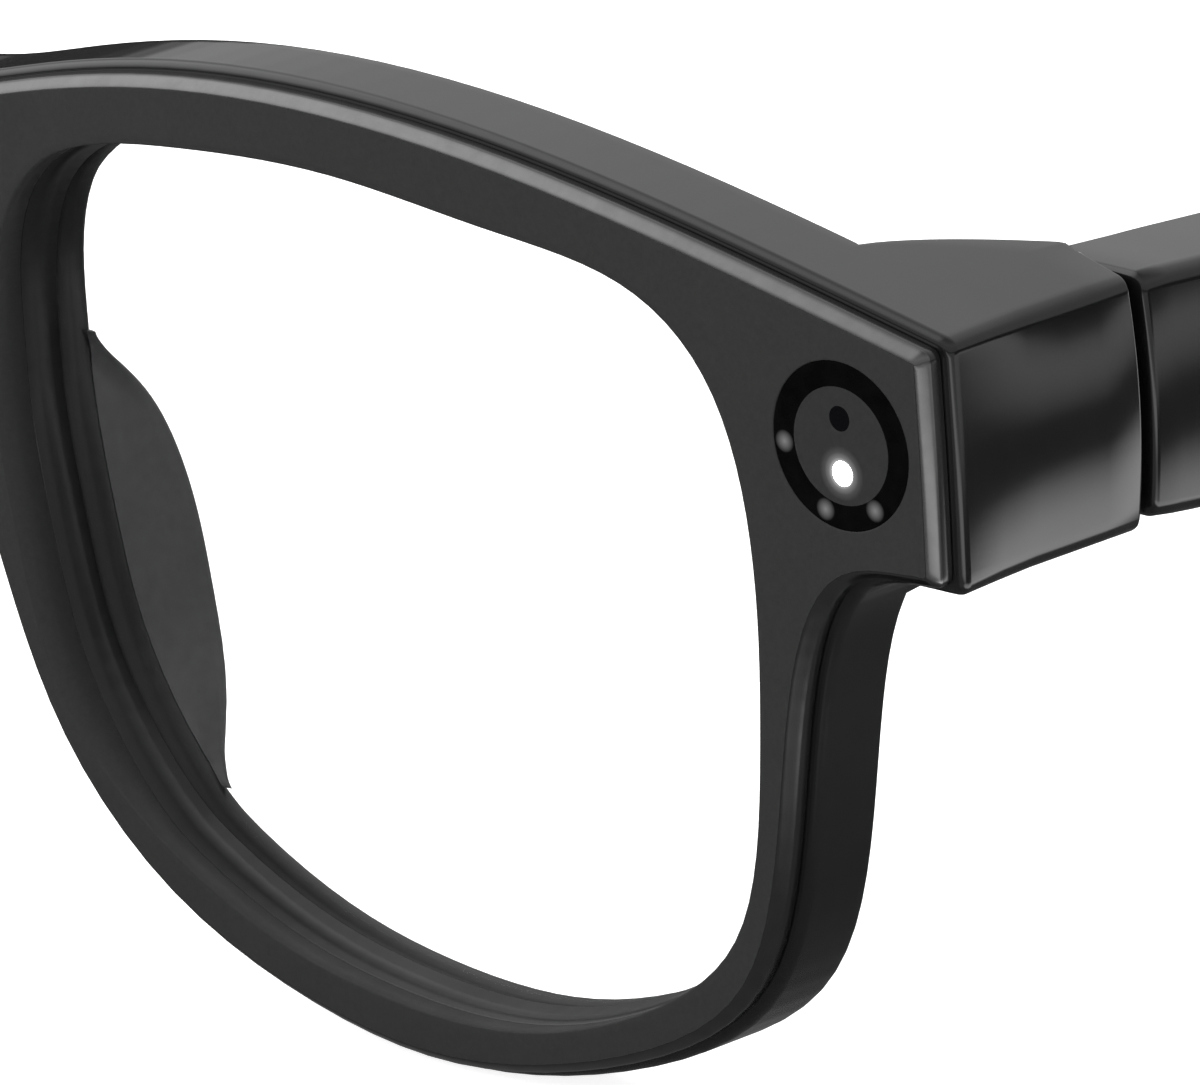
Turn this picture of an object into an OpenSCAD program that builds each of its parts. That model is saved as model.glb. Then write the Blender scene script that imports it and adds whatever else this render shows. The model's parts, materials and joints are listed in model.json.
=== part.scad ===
// Smart glasses: a black rimmed front with a matte face plate, two clear lenses and two folding
// temples that carry the electronics. Millimetres. X is to the wearer's left, Y runs from the face
// of the front to the temple tips, Z is up. The glasses stand open on z = 0, on the lower edge of
// the rims and on the temple tips, and the origin is in the middle of that footprint.

/* [Front] */
// Wrap radius of the front, seen from above
wrap_radius = 800; // [400:50:1600]
// Thickness of the matte face plate
plate_t = 1.25; // [0.8:0.05:1.8]
// Depth of the whole front at the rims
front_t = 5.3; // [4:0.1:7]
// How far the plate's wall stands outside its flat face
plate_edge = 0.5; // [0.2:0.1:0.6]
// How far the frame stands outside the plate's flat face
frame_edge = 1.0; // [0.7:0.05:1.05]
// Step of the rim's rear lip into the lens opening
rear_lip = 0.8; // [0.4:0.1:1.2]

/* [Lenses] */
// Thickness of a lens
lens_t = 1.2; // [1:0.1:2]
// Depth of the lens behind the face
lens_y = 3; // [1.8:0.1:3.2]
// Bite of the lens into its groove
lens_bite = 0.6; // [0.3:0.1:0.9]

/* [Camera and light] */
// Distance of the round windows from the middle
window_x = 67.5; // [66.5:0.1:67.8]
// Height of the round windows
window_z = 35.7; // [35:0.1:36]
// Outer radius of the glossy ring
ring_r = 4.0; // [3.5:0.1:4.2]
// Radius of the disc inside the ring
disc_r = 2.8; // [2.4:0.1:3]
// Radius of the camera's pupil and of the light
eye_r = 0.6; // [0.4:0.05:0.8]
// Distance of pupil and light from the ring's middle
eye_offset = 1.3; // [1.1:0.1:1.6]

/* [Endpieces and hinges] */
// Rear face of the endpieces
endpiece_y = 16.5; // [16.3:0.1:16.8]
// Inner face of the endpieces at the hinge
endpiece_x = 66.9; // [66.8:0.1:67.2]
// Hinge axis, distance from the middle
pivot_x = 66.4; // [66.3:0.05:66.5]
// Hinge axis, distance behind the face
pivot_y = 17.15; // [17.1:0.05:17.3]
// Radius of the hinge barrels
barrel_r = 1.3; // [1.2:0.05:1.35]
// Radius of the hinge screw's shank
screw_r = 0.7; // [0.5:0.05:0.8]
// Running clearance in the barrels
running_gap = 0.05; // [0.02:0.01:0.09]

/* [Temples] */
// Front face of the temples
temple_y = 17.8; // [17.7:0.1:18.2]
// Outer face of the temples at the hinge
temple_x = 73.1; // [72.9:0.1:73.3]
// Downward tilt of the temples
temple_tilt = 4.8; // [4:0.1:5.5]
// Wall of the temple shells
wall_t = 1.2; // [1:0.1:1.4]

/* [Controls] */
// Length of the capture button
button_length = 10; // [8:0.5:12]
// Width of the capture button
button_w = 2.6; // [2.2:0.1:3]
// Travel of the capture button
button_travel = 0.4; // [0.3:0.05:0.5]
// Length of the power slider's knob
knob_length = 4; // [3:0.5:5]
// Travel of the power slider
knob_travel = 2; // [1.5:0.1:2.5]

/* [Hidden] */
$fn = 48;

// Control polygon of the left lens opening [x, z], clockwise seen from the front
opening_polygon = [
    [12.5, 37.5], [16.5, 42.5], [26, 43.5], [36, 44], [46, 42.5], [55, 42], [60.5, 37.5],
    [62, 29], [61.5, 20.5], [60.5, 10.5], [54.5, 6], [45, 2.5], [35, 3], [26, 5],
    [14.5, 12], [12.5, 21.5], [11, 30]
];
// Control polygon of the left half of the face, from the bridge's top to its underside.
// A point given twice makes a tight corner.
face_polygon = [
    [8, 42.6], [15, 44.6], [24, 46.3], [34, 46.8], [45, 46], [56, 44.1], [66, 41.8],
    [72.1, 40.3], [72.1, 40.3], [72.2, 35], [72.1, 30], [72.1, 30], [66.5, 30.3], [63.8, 25.5],
    [62.7, 19], [61.5, 11.4], [58.5, 6.1], [50, 2.4], [40, 0.4], [31, 1.7], [21.3, 5.1],
    [14.1, 12], [11.3, 20], [9.2, 26.2], [6, 31.2]
];
bridge_top = [0, 42.6];
bridge_bottom = [0, 32.5];
// Control polygon of a temple from the side [y, z], behind its square front end
temple_side_polygon = [
    [21, 40.9], [45, 39.3], [75, 36], [94, 34.5], [111.5, 33.1], [124.5, 30.9], [135.5, 25.2],
    [146.5, 15], [156.5, 6.5], [162.5, 2.5], [161, -0.9], [155, 0.5], [148, 5.5], [139.5, 13.5],
    [130.5, 20.3], [120, 24], [106, 25.2], [92, 25.6], [75, 25.9], [45, 27.0], [21, 28.8]
];
temple_top_z = 41.1;
temple_bottom_z = 29.3;
// Control polygon of the left temple from above [x, y], behind its square front end
temple_plan_polygon = [
    [73.5, 40], [73.4, 70], [72.6, 105], [70.8, 137], [68.4, 166.5], [64.4, 166.5],
    [66.6, 137], [67.5, 108], [67, 90], [65.9, 80], [65.8, 60], [65.9, 40]
];
temple_inner_x = 66.1;

// Uniform cubic B-spline round a closed control polygon
function knot(p, i) = p[(i + len(p)) % len(p)];
function spline_at(p, i, u) = (
    pow(1 - u, 3) * knot(p, i - 1) + (3 * pow(u, 3) - 6 * u * u + 4) * knot(p, i)
    + (-3 * pow(u, 3) + 3 * u * u + 3 * u + 1) * knot(p, i + 1) + pow(u, 3) * knot(p, i + 2)
) / 6;
function slope_at(p, i, u) =
    -pow(1 - u, 2) * knot(p, i - 1) + (3 * u * u - 4 * u) * knot(p, i)
    + (-3 * u * u + 2 * u + 1) * knot(p, i + 1) + u * u * knot(p, i + 2);
function outward(d) = [-d[1], d[0]] / max(norm(d), 0.0001);
function curve(p, steps, out = 0) = [
    for (i = [0 : len(p) - 1]) for (k = [0 : steps - 1])
        spline_at(p, i, k / steps) + (out == 0 ? [0, 0] : out * outward(slope_at(p, i, k / steps)))
];
function mirrored(p) = [for (i = [len(p) - 1 : -1 : 0]) [-p[i][0], p[i][1]]];
function sag(x) = wrap_radius - sqrt(wrap_radius * wrap_radius - x * x);

whole_face = concat([bridge_top], face_polygon, [bridge_bottom], mirrored(face_polygon));
temple_side = concat(
    [for (k = [0 : 2]) [temple_y, temple_bottom_z]],
    [for (k = [0 : 2]) [temple_y, temple_top_z]], temple_side_polygon
);
temple_plan = concat(
    [for (k = [0 : 2]) [temple_inner_x, temple_y]],
    [for (k = [0 : 2]) [temple_x, temple_y]], temple_plan_polygon
);
face_steps = 5;
opening_steps = 7;
temple_steps = 5;
side_points = curve(temple_side, temple_steps);
overall_length = max([for (p = side_points) p[0]]);

// Middle of the nose pad's seat
pad_x = 13.5;

// Endpiece
endpiece_top = [41.3, 40.55];
endpiece_bottom = [29.15, 29.7];
endpiece_root = [6.5, 8.5];
endpiece_flare = 5.4;

// Hinge heights
leaf_z = [31.6, 37.6];
barrel_z = [31.1, 33.4, 33.5, 35.7, 35.8, 38.1];
barrel_room = 0.2;
leaf_t = 1.0;
leaf_x = 66.9;
screw_head_r = 1.1;
screw_head_t = 0.5;

// Room for the electronics, in the temple's own tilted frame
bay_start = 9;
bay_end = 68;
bay_half_h = 4.2;
bay_x = 67.3;
temple_mid_z = 35.1;
slit = 0.15;
button_y = 27;
button_x = 69.6;
button_top = 6.8;
knob_y = 15;

// ---------------------------------------------------------------- shared shapes
module on_face() translate([0, -overall_length / 2, 0]) children();

module above_ground() {
    intersection() {
        children();
        translate([-100, -20, 0]) cube([200, 200, 80]);
    }
}

module front_prism(points, depth = 24)
    translate([0, depth, 0]) rotate([90, 0, 0]) linear_extrude(depth) polygon(points);

module wrap_layer(near, far) {
    translate([0, wrap_radius, -5]) difference() {
        cylinder(r = wrap_radius - near, h = 60, $fn = 720);
        translate([0, 0, -1]) cylinder(r = wrap_radius - far, h = 62, $fn = 720);
    }
}

module both() {
    children();
    mirror([1, 0, 0]) children();
}

module opening_prism(out) front_prism(curve(opening_polygon, opening_steps, out));

// Frame on the face at a round window; z points out of the face
module at_window() {
    translate([window_x, sag(window_x), window_z])
        rotate([0, 0, asin(window_x / wrap_radius)]) rotate([90, 0, 0]) children();
}

module down_from_face(r, near, far) translate([0, 0, -far]) cylinder(r = r, h = far - near);

// Tilted frame of the left temple: y along it, z across it
module along_temple()
    translate([0, temple_y, temple_mid_z]) rotate([-temple_tilt, 0, 0]) children();

module block(x0, x1, y0, y1, z0, z1) translate([x0, y0, z0]) cube([x1 - x0, y1 - y0, z1 - z0]);

module pill(length, width, h) {
    translate([-width / 2, -(length - width) / 2, 0]) cube([width, length - width, h]);
    for (s = [-1, 1]) translate([0, s * (length - width) / 2, 0]) cylinder(r = width / 2, h = h);
}

// ---------------------------------------------------------------- front
module endpiece_solid() {
    flare = [for (a = [0 : 10 : 90]) [
        endpiece_x - endpiece_flare * (1 - cos(a)),
        endpiece_y - (endpiece_y - endpiece_root[1]) * sin(a)
    ]];
    plan = concat([
        [endpiece_x - endpiece_flare, endpiece_root[0]], [temple_x, endpiece_root[0]],
        [temple_x, endpiece_y]
    ], flare);
    side = [
        [endpiece_root[0], endpiece_bottom[0]], [endpiece_root[0], endpiece_top[0]],
        [endpiece_y, endpiece_top[1]], [endpiece_y, endpiece_bottom[1]]
    ];
    intersection() {
        translate([0, 0, 25]) linear_extrude(20) polygon(plan);
        translate([55, 0, 0]) rotate([90, 0, 90]) linear_extrude(25) polygon(side);
    }
}

module barrel_bay() {
    translate([pivot_x, pivot_y, barrel_z[0] - barrel_room])
        cylinder(
            r = barrel_r + barrel_room,
            h = barrel_z[5] - barrel_z[0] + screw_head_t + 2 * barrel_room
        );
}

module lens_solid() {
    intersection() {
        opening_prism(lens_bite);
        wrap_layer(lens_y, lens_y + lens_t);
    }
}

module flex_band() {
    top = [for (i = [0 : 7]) for (k = [0 : 3]) [i, k / 4]];
    upper = [for (t = top) spline_at(whole_face, t[0], t[1])
        - 0.5 * outward(slope_at(whole_face, t[0], t[1]))];
    lower = [for (j = [len(top) - 1 : -1 : 0]) spline_at(whole_face, top[j][0], top[j][1])
        - 1.7 * outward(slope_at(whole_face, top[j][0], top[j][1]))];
    intersection() {
        both() front_prism(concat(upper, lower));
        wrap_layer(plate_t, plate_t + 0.25);
        block(-62, 62, 0, 10, 30, 50);
    }
}

module module_body() translate([-3.2, -3.2, -5.8]) cube([6.4, 6.4, 5.8 - plate_t]);

module contact_pins() {
    for (s = [-1, 1]) translate([s * 2.5, front_t, 37]) rotate([90, 0, 0])
        cylinder(r = 0.9, h = 1.2);
}

module bridge_mic_box() block(-1.6, 1.6, plate_t + 0.6, plate_t + 1.6, 35, 37.4);

module front_frame() {
    color([0.05, 0.05, 0.055]) on_face() above_ground() difference() {
        union() {
            intersection() {
                front_prism(curve(whole_face, face_steps, frame_edge));
                wrap_layer(plate_t, front_t);
            }
            both() endpiece_solid();
        }
        both() {
            intersection() {
                opening_prism(-0.3);
                wrap_layer(0, lens_y + lens_t);
            }
            opening_prism(-rear_lip);
            lens_solid();
            at_window() module_body();
            barrel_bay();
            hinge_front_leaf_shape();
        }
        flex_band();
        contact_pins();
        bridge_mic_box();
    }
}

module face_plate() {
    color([0.22, 0.22, 0.22]) on_face() difference() {
        intersection() {
            front_prism(curve(whole_face, face_steps, plate_edge));
            wrap_layer(0, plate_t);
        }
        both() {
            opening_prism(0);
            at_window() down_from_face(ring_r, -2, 6);
        }
    }
}

module lens_left() color([0.95, 0.97, 1, 0.2]) on_face() lens_solid();

module nose_pad_solid() {
    intersection() {
        hull() {
            for (p = [[10.9, 27.6], [11.2, 20], [13.2, 12.6], [16.6, 8.4]])
                translate([p[0], front_t + 0.2, p[1]]) sphere(r = 1.2, $fn = 24);
            for (p = [[11, 8.4, 25.4], [11.6, 10.6, 21], [12, 11, 16], [13.2, 9.8, 11.4],
                      [15.8, 7.6, 8.6]])
                translate(p) sphere(r = 1.1, $fn = 24);
        }
        // The pad's flat back lies on the frame's rear face
        translate([pad_x, front_t + sag(pad_x) + 0.01, 0])
            rotate([0, 0, asin(pad_x / wrap_radius)]) translate([-20, 0, 0]) cube([40, 12, 40]);
    }
}

module nose_pad_left() color([0.2, 0.2, 0.21]) on_face() nose_pad_solid();

module ring_shape() {
    at_window() difference() {
        down_from_face(ring_r, 0, plate_t);
        down_from_face(disc_r, -1, plate_t + 1);
    }
}

module window_shape() {
    at_window() difference() {
        down_from_face(disc_r, 0, plate_t);
        for (s = [-1, 1]) translate([0, s * eye_offset, 0]) down_from_face(eye_r, -1, plate_t + 1);
    }
}

module eye_shape(side) {
    at_window() translate([0, side * eye_offset, 0]) down_from_face(eye_r, 0, plate_t);
}

module camera_ring() color([0.01, 0.01, 0.01]) on_face() ring_shape();
module camera_window() color([0.2, 0.2, 0.2]) on_face() window_shape();
module camera_lens() color([0.02, 0.02, 0.03]) on_face() eye_shape(1);
module status_led() color([1, 1, 1]) on_face() eye_shape(-1);
module camera_module() color([0.15, 0.15, 0.17]) on_face() at_window() module_body();
module light_ring() color([0.01, 0.01, 0.01]) on_face() mirror([1, 0, 0]) ring_shape();
module light_window() color([0.2, 0.2, 0.2]) on_face() mirror([1, 0, 0]) window_shape();
module light_sensor() color([0.02, 0.02, 0.03]) on_face() mirror([1, 0, 0]) eye_shape(1);
module light_lens() color([0.9, 0.9, 0.9]) on_face() mirror([1, 0, 0]) eye_shape(-1);
module light_module()
    color([0.1, 0.35, 0.2]) on_face() mirror([1, 0, 0]) at_window() module_body();
module front_flex() color([0.75, 0.45, 0.1]) on_face() flex_band();
module bridge_microphone() color([0.7, 0.7, 0.72]) on_face() bridge_mic_box();
module charge_contacts() color([0.85, 0.68, 0.3]) on_face() contact_pins();

// ---------------------------------------------------------------- hinges
module barrel(low, high) {
    translate([pivot_x, pivot_y, low]) cylinder(r = barrel_r, h = high - low);
}

module screw_bore() translate([pivot_x, pivot_y, 25]) cylinder(r = screw_r + running_gap, h = 20);

module hinge_front_leaf_shape() {
    difference() {
        union() {
            block(leaf_x, leaf_x + leaf_t, 9.6, pivot_y - barrel_r - barrel_room,
                  leaf_z[0], leaf_z[1]);
            for (k = [0, 4]) {
                barrel(barrel_z[k], barrel_z[k + 1]);
                block(pivot_x, leaf_x + leaf_t, pivot_y - barrel_r - barrel_room - 0.1,
                      pivot_y, barrel_z[k], barrel_z[k + 1]);
            }
        }
        screw_bore();
    }
}

module hinge_temple_leaf_shape() {
    difference() {
        union() {
            block(leaf_x, leaf_x + leaf_t, pivot_y + barrel_r + barrel_room, 26,
                  leaf_z[0], leaf_z[1]);
            barrel(barrel_z[2], barrel_z[3]);
            block(pivot_x, leaf_x + leaf_t, pivot_y, pivot_y + barrel_r + barrel_room + 0.1,
                  barrel_z[2], barrel_z[3]);
        }
        screw_bore();
        leaf_screw_shanks();
    }
}

module hinge_screw_shape() {
    translate([pivot_x, pivot_y, barrel_z[0] - 0.1])
        cylinder(r = screw_r, h = barrel_z[5] - barrel_z[0] + 0.1);
    translate([pivot_x, pivot_y, barrel_z[5]]) difference() {
        cylinder(r = screw_head_r, h = screw_head_t);
        translate([-2, -0.15, 0.25]) cube([4, 0.3, 1]);
    }
}

module leaf_screw_shanks() {
    for (y = [20.6, 24]) translate([leaf_x - 0.2, y, 34.6]) rotate([0, 90, 0])
        cylinder(r = 0.45, h = 3);
}

module leaf_screw_shape() {
    leaf_screw_shanks();
    for (y = [20.6, 24]) translate([leaf_x - 0.45, y, 34.6]) rotate([0, 90, 0])
        cylinder(r = 0.85, h = 0.45);
}

module hinge_front_leaf_left() color("silver") on_face() hinge_front_leaf_shape();
module hinge_screw_left() color("dimgray") on_face() hinge_screw_shape();
module hinge_temple_leaf_left() color("silver") on_face() hinge_temple_leaf_shape();
module leaf_screws_left() color("dimgray") on_face() leaf_screw_shape();
module hinge_front_leaf_right()
    color("silver") on_face() mirror([1, 0, 0]) hinge_front_leaf_shape();
module hinge_screw_right() color("dimgray") on_face() mirror([1, 0, 0]) hinge_screw_shape();
module hinge_temple_leaf_right()
    color("silver") on_face() mirror([1, 0, 0]) hinge_temple_leaf_shape();
module leaf_screws_right() color("dimgray") on_face() mirror([1, 0, 0]) leaf_screw_shape();

// ---------------------------------------------------------------- temples
module temple_outer_form() {
    above_ground() intersection() {
        translate([55, 0, 0]) rotate([90, 0, 90]) linear_extrude(25) polygon(side_points);
        translate([0, 0, -5]) linear_extrude(60) polygon(curve(temple_plan, temple_steps));
    }
}

module cover_form() {
    intersection() {
        temple_outer_form();
        along_temple() block(60, bay_x, bay_start - 0.5, bay_end + 0.5, -bay_half_h, bay_half_h);
    }
}

module grille_plate() along_temple() block(68.4, 70.8, 58.5, 66.5, -5.1, -bay_half_h);

module grille_slots() {
    along_temple() for (k = [0 : 5]) block(68.8, 70.4, 59.2 + 1.2 * k, 59.8 + 1.2 * k, -6, -4);
}

module microphone_port() along_temple() translate([69.6, 12, -7]) cylinder(r = 0.4, h = 3.2);

module temple_shell_form() {
    difference() {
        temple_outer_form();
        cover_form();
        along_temple() block(bay_x - 0.01, temple_x - wall_t, bay_start, bay_end,
                             -bay_half_h, bay_half_h);
        along_temple() block(68.4, 70.8, 58.5, 66.5, -8, -bay_half_h);
        microphone_port();
        barrel_bay();
        block(60, leaf_x + leaf_t, pivot_y + barrel_r + barrel_room, 26, leaf_z[0], leaf_z[1]);
        block(60, leaf_x + leaf_t, pivot_y, 19, barrel_z[2], barrel_z[3]);
        leaf_screw_shanks();
    }
}

module speaker_shape() {
    along_temple() difference() {
        block(67.6, 71.6, 58, 67, -3.9, 3.9);
        block(68.4, 70.8, 59, 66, -5, -3.4);
    }
}

module microphone_shape() along_temple() block(68.3, 70.9, 10.4, 13.6, -bay_half_h, -3.2);

module at_button() along_temple() translate([button_x, button_y, 0]) children();
module at_knob() along_temple() translate([bay_x, knob_y, 0]) rotate([0, 90, 0]) children();

module temple_shell_left() color([0.05, 0.05, 0.055]) on_face() temple_shell_form();

module temple_cover_left() {
    color([0.07, 0.07, 0.075]) on_face() difference() {
        cover_form();
        at_knob() translate([0, knob_travel / 2, -3])
            pill(knob_length + knob_travel + 2 * slit, 2.2 + 2 * slit, 4);
    }
}

module battery() {
    color([0.6, 0.62, 0.66]) on_face() along_temple() block(67.6, 71.6, 22, 57, -3.6, 3.6);
}

module power_board() {
    color([0.1, 0.35, 0.2]) on_face() along_temple() block(70.8, 71.6, 10.2, 21.4, -3, 3.8);
}

module speaker_left() color([0.12, 0.12, 0.13]) on_face() speaker_shape();
module speaker_grille_shape() {
    difference() {
        grille_plate();
        grille_slots();
    }
}
module speaker_grille_left() color([0.1, 0.1, 0.1]) on_face() speaker_grille_shape();
module microphone_left() color([0.7, 0.7, 0.72]) on_face() microphone_shape();

module power_slider() {
    color([0.12, 0.12, 0.13]) on_face() at_knob() {
        translate([0, 0, -2]) pill(knob_length, 2.2, 2.15);
        translate([0, 0, 0.1]) pill(knob_length + 1.6, 3.4, 0.5);
    }
}

module slider_switch() {
    color([0.75, 0.75, 0.78]) on_face() along_temple() block(68.1, 70.6, 13, 19.5, -1.6, 1.6);
}

module temple_shell_right() {
    color([0.05, 0.05, 0.055]) on_face() mirror([1, 0, 0]) difference() {
        temple_shell_form();
        at_button() translate([0, 0, 3]) pill(button_length + 2 * slit, button_w + 2 * slit, 4);
    }
}

module temple_cover_right()
    color([0.07, 0.07, 0.075]) on_face() mirror([1, 0, 0]) cover_form();

module main_board() {
    color([0.1, 0.35, 0.2]) on_face() mirror([1, 0, 0]) along_temple()
        block(68.2, 69, 14.5, 57, -3.9, 2);
}

module processor() {
    color([0.7, 0.7, 0.72]) on_face() mirror([1, 0, 0]) along_temple() {
        block(69, 70.4, 18, 30, -3.4, 1.6);
        block(69, 70.4, 33, 46, -3.4, 1.6);
    }
}

module speaker_right() color([0.12, 0.12, 0.13]) on_face() mirror([1, 0, 0]) speaker_shape();
module speaker_grille_right()
    color([0.1, 0.1, 0.1]) on_face() mirror([1, 0, 0]) speaker_grille_shape();
module microphone_right()
    color([0.7, 0.7, 0.72]) on_face() mirror([1, 0, 0]) microphone_shape();

module touch_sensor() {
    color([0.75, 0.45, 0.1]) on_face() mirror([1, 0, 0]) along_temple()
        block(71.5, temple_x - wall_t, 22, 46, -3.4, 1.6);
}

module antenna() {
    color([0.85, 0.68, 0.3]) on_face() mirror([1, 0, 0]) along_temple()
        block(71.4, temple_x - wall_t, 48, 57, -3.4, 3.4);
}

module capture_button() {
    color([0.12, 0.12, 0.13]) on_face() mirror([1, 0, 0]) at_button() {
        translate([0, 0, 3.6]) pill(button_length, button_w, button_top - 3.6);
        translate([0, 0, 3.2]) pill(button_length + 1.2, button_w + 1, 0.9);
    }
}

module button_switch() {
    color([0.75, 0.75, 0.78]) on_face() mirror([1, 0, 0]) at_button()
        block(-1.3, 1.3, -1.8, 1.8, 2, 3.2 - button_travel - 0.05);
}

front_frame();
face_plate();
lens_left();
mirror([1, 0, 0]) lens_left();  // lens_right
nose_pad_left();
mirror([1, 0, 0]) nose_pad_left();  // nose_pad_right
camera_ring();
camera_window();
camera_lens();
status_led();
camera_module();
light_ring();
light_window();
light_sensor();
light_lens();
light_module();
front_flex();
bridge_microphone();
charge_contacts();
hinge_front_leaf_left();
hinge_front_leaf_right();
hinge_screw_left();
hinge_screw_right();
temple_shell_left();
temple_cover_left();
hinge_temple_leaf_left();
leaf_screws_left();
battery();
power_board();
speaker_left();
speaker_grille_left();
microphone_left();
power_slider();
slider_switch();
temple_shell_right();
temple_cover_right();
hinge_temple_leaf_right();
leaf_screws_right();
main_board();
processor();
speaker_right();
speaker_grille_right();
microphone_right();
touch_sensor();
antenna();
capture_button();
button_switch();
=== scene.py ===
"""Smart glasses in a plain studio. The glossy front, the matte face plate, the lenses, the nose pads
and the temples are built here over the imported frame; hinges, windows and electronics are the CAD's."""
import json
import math

import bmesh
import bpy
from mathutils import Matrix, Vector
from mathutils.bvhtree import BVHTree
from mathutils.geometry import delaunay_2d_cdt


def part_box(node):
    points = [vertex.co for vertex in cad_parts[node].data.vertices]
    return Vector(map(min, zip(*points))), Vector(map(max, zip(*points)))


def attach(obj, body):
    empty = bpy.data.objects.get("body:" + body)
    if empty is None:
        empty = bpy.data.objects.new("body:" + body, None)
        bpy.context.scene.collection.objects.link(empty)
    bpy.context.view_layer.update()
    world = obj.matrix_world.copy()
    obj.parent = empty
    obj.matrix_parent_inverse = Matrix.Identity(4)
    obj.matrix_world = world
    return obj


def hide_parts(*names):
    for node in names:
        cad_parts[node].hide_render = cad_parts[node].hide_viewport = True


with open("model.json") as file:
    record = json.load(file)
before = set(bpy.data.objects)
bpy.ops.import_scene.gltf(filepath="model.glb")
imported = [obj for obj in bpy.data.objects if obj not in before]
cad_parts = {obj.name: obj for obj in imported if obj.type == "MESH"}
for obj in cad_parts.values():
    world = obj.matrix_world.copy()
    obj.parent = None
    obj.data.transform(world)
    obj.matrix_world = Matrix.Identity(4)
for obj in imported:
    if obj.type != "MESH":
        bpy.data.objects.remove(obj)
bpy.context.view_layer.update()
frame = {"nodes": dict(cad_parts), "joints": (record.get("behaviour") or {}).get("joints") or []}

MM = 0.001
WRAP_RADIUS = 0.8          # of the front, seen from above
PLATE_T = 1.25 * MM        # face plate
FRONT_T = 5.3 * MM         # whole front at the rims
PLATE_EDGE = 0.5 * MM      # plate wall outside the flat face
FRAME_EDGE = 1.0 * MM      # frame wall outside the flat face
TEMPLE_TILT = math.radians(4.8)

FACE_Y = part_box("face_plate")[0].y
JOINT = {j["name"]: j for j in frame["joints"]}
PIVOT = Vector(JOINT["left_temple_fold"]["pos_m"])


# ---------------------------------------------------------------- camera
def make_camera():
    """Close three-quarter view of the left half of the front, from the front and above."""
    azimuth, elevation, roll = math.radians(47.67), math.radians(17.6), math.radians(-3.73)
    back = Vector((math.sin(azimuth) * math.cos(elevation),
                   -math.cos(azimuth) * math.cos(elevation), math.sin(elevation)))
    level = Vector((math.cos(azimuth), math.sin(azimuth), 0))
    above = back.cross(level)
    right = level * math.cos(roll) + above * math.sin(roll)
    up = above * math.cos(roll) - level * math.sin(roll)
    target = Vector((54.14 * MM, FACE_Y, 29.38 * MM))
    data = bpy.data.cameras.new("camera")
    data.sensor_width, data.lens = 36, 393.4
    data.clip_start, data.clip_end = 0.01, 20
    camera = bpy.data.objects.new("camera", data)
    turn = Matrix((right, up, back)).transposed().to_4x4()
    camera.matrix_world = Matrix.Translation(target + back * 0.6) @ turn
    bpy.context.scene.collection.objects.link(camera)
    bpy.context.scene.camera = camera


make_camera()


# ---------------------------------------------------------------- materials
def new_material(name, color, roughness, metallic=0.0, coat=0.0, coat_roughness=0.1,
                 specular=0.5):
    """A Principled material; returns it with its node tree and shader."""
    material = bpy.data.materials.new(name)
    material.use_nodes = True
    tree = material.node_tree
    shader = tree.nodes["Principled BSDF"]
    shader.inputs["Base Color"].default_value = (*color, 1)
    shader.inputs["Roughness"].default_value = roughness
    shader.inputs["Metallic"].default_value = metallic
    shader.inputs["Coat Weight"].default_value = coat
    shader.inputs["Coat Roughness"].default_value = coat_roughness
    shader.inputs["Specular IOR Level"].default_value = specular
    return material, tree, shader


def add(tree, kind, **settings):
    """A node of a kind, with attributes and input values set by name."""
    node = tree.nodes.new(kind)
    for key, value in settings.items():
        if key in node.inputs:
            node.inputs[key].default_value = value
        else:
            setattr(node, key, value)
    return node


def coordinates(tree, scale=(1, 1, 1)):
    """Object coordinates, stretched by scale."""
    place = tree.nodes.new("ShaderNodeTexCoord")
    mapping = add(tree, "ShaderNodeMapping", Scale=scale)
    tree.links.new(place.outputs["Object"], mapping.inputs["Vector"])
    return mapping.outputs["Vector"]


def ramp(tree, source, stops):
    """A colour ramp from [(position, grey or colour)]."""
    node = tree.nodes.new("ShaderNodeValToRGB")
    tree.links.new(source, node.inputs["Fac"])
    while len(node.color_ramp.elements) < len(stops):
        node.color_ramp.elements.new(0.5)
    for element, (position, color) in zip(node.color_ramp.elements, stops):
        element.position = position
        element.color = (*color, 1) if isinstance(color, tuple) else (color, color, color, 1)
    return node.outputs["Color"]


def detail(tree, shader, color, grain, spread, roughness, rough_spread, bump, stretch=(1, 1, 1)):
    """Fine noise in a surface's colour, roughness and height. grain is the noise scale per metre."""
    at = coordinates(tree, stretch)
    fine = add(tree, "ShaderNodeTexNoise", Scale=grain, Detail=4.0, Roughness=0.65)
    wide = add(tree, "ShaderNodeTexNoise", Scale=grain / 14, Detail=3.0, Roughness=0.5)
    for node in (fine, wide):
        tree.links.new(at, node.inputs["Vector"])
    dark = tuple(c * (1 - spread) for c in color)
    light = tuple(min(1, c * (1 + spread)) for c in color)
    tree.links.new(ramp(tree, fine.outputs["Fac"], [(0.3, dark), (0.7, light)]),
                   shader.inputs["Base Color"])
    low, high = max(0.02, roughness - rough_spread), min(1, roughness + rough_spread)
    tree.links.new(ramp(tree, wide.outputs["Fac"], [(0.3, low), (0.7, high)]),
                   shader.inputs["Roughness"])
    lift = add(tree, "ShaderNodeBump", Strength=bump, Distance=0.05 * MM)
    tree.links.new(fine.outputs["Fac"], lift.inputs["Height"])
    tree.links.new(lift.outputs["Normal"], shader.inputs["Normal"])


def plain(name, color, roughness, grain=900, spread=0.12, rough_spread=0.05, bump=0.1,
          stretch=(1, 1, 1), **more):
    """A material with fine procedural detail."""
    material, tree, shader = new_material(name, color, roughness, **more)
    detail(tree, shader, color, grain, spread, roughness, rough_spread, bump, stretch)
    return material


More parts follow.
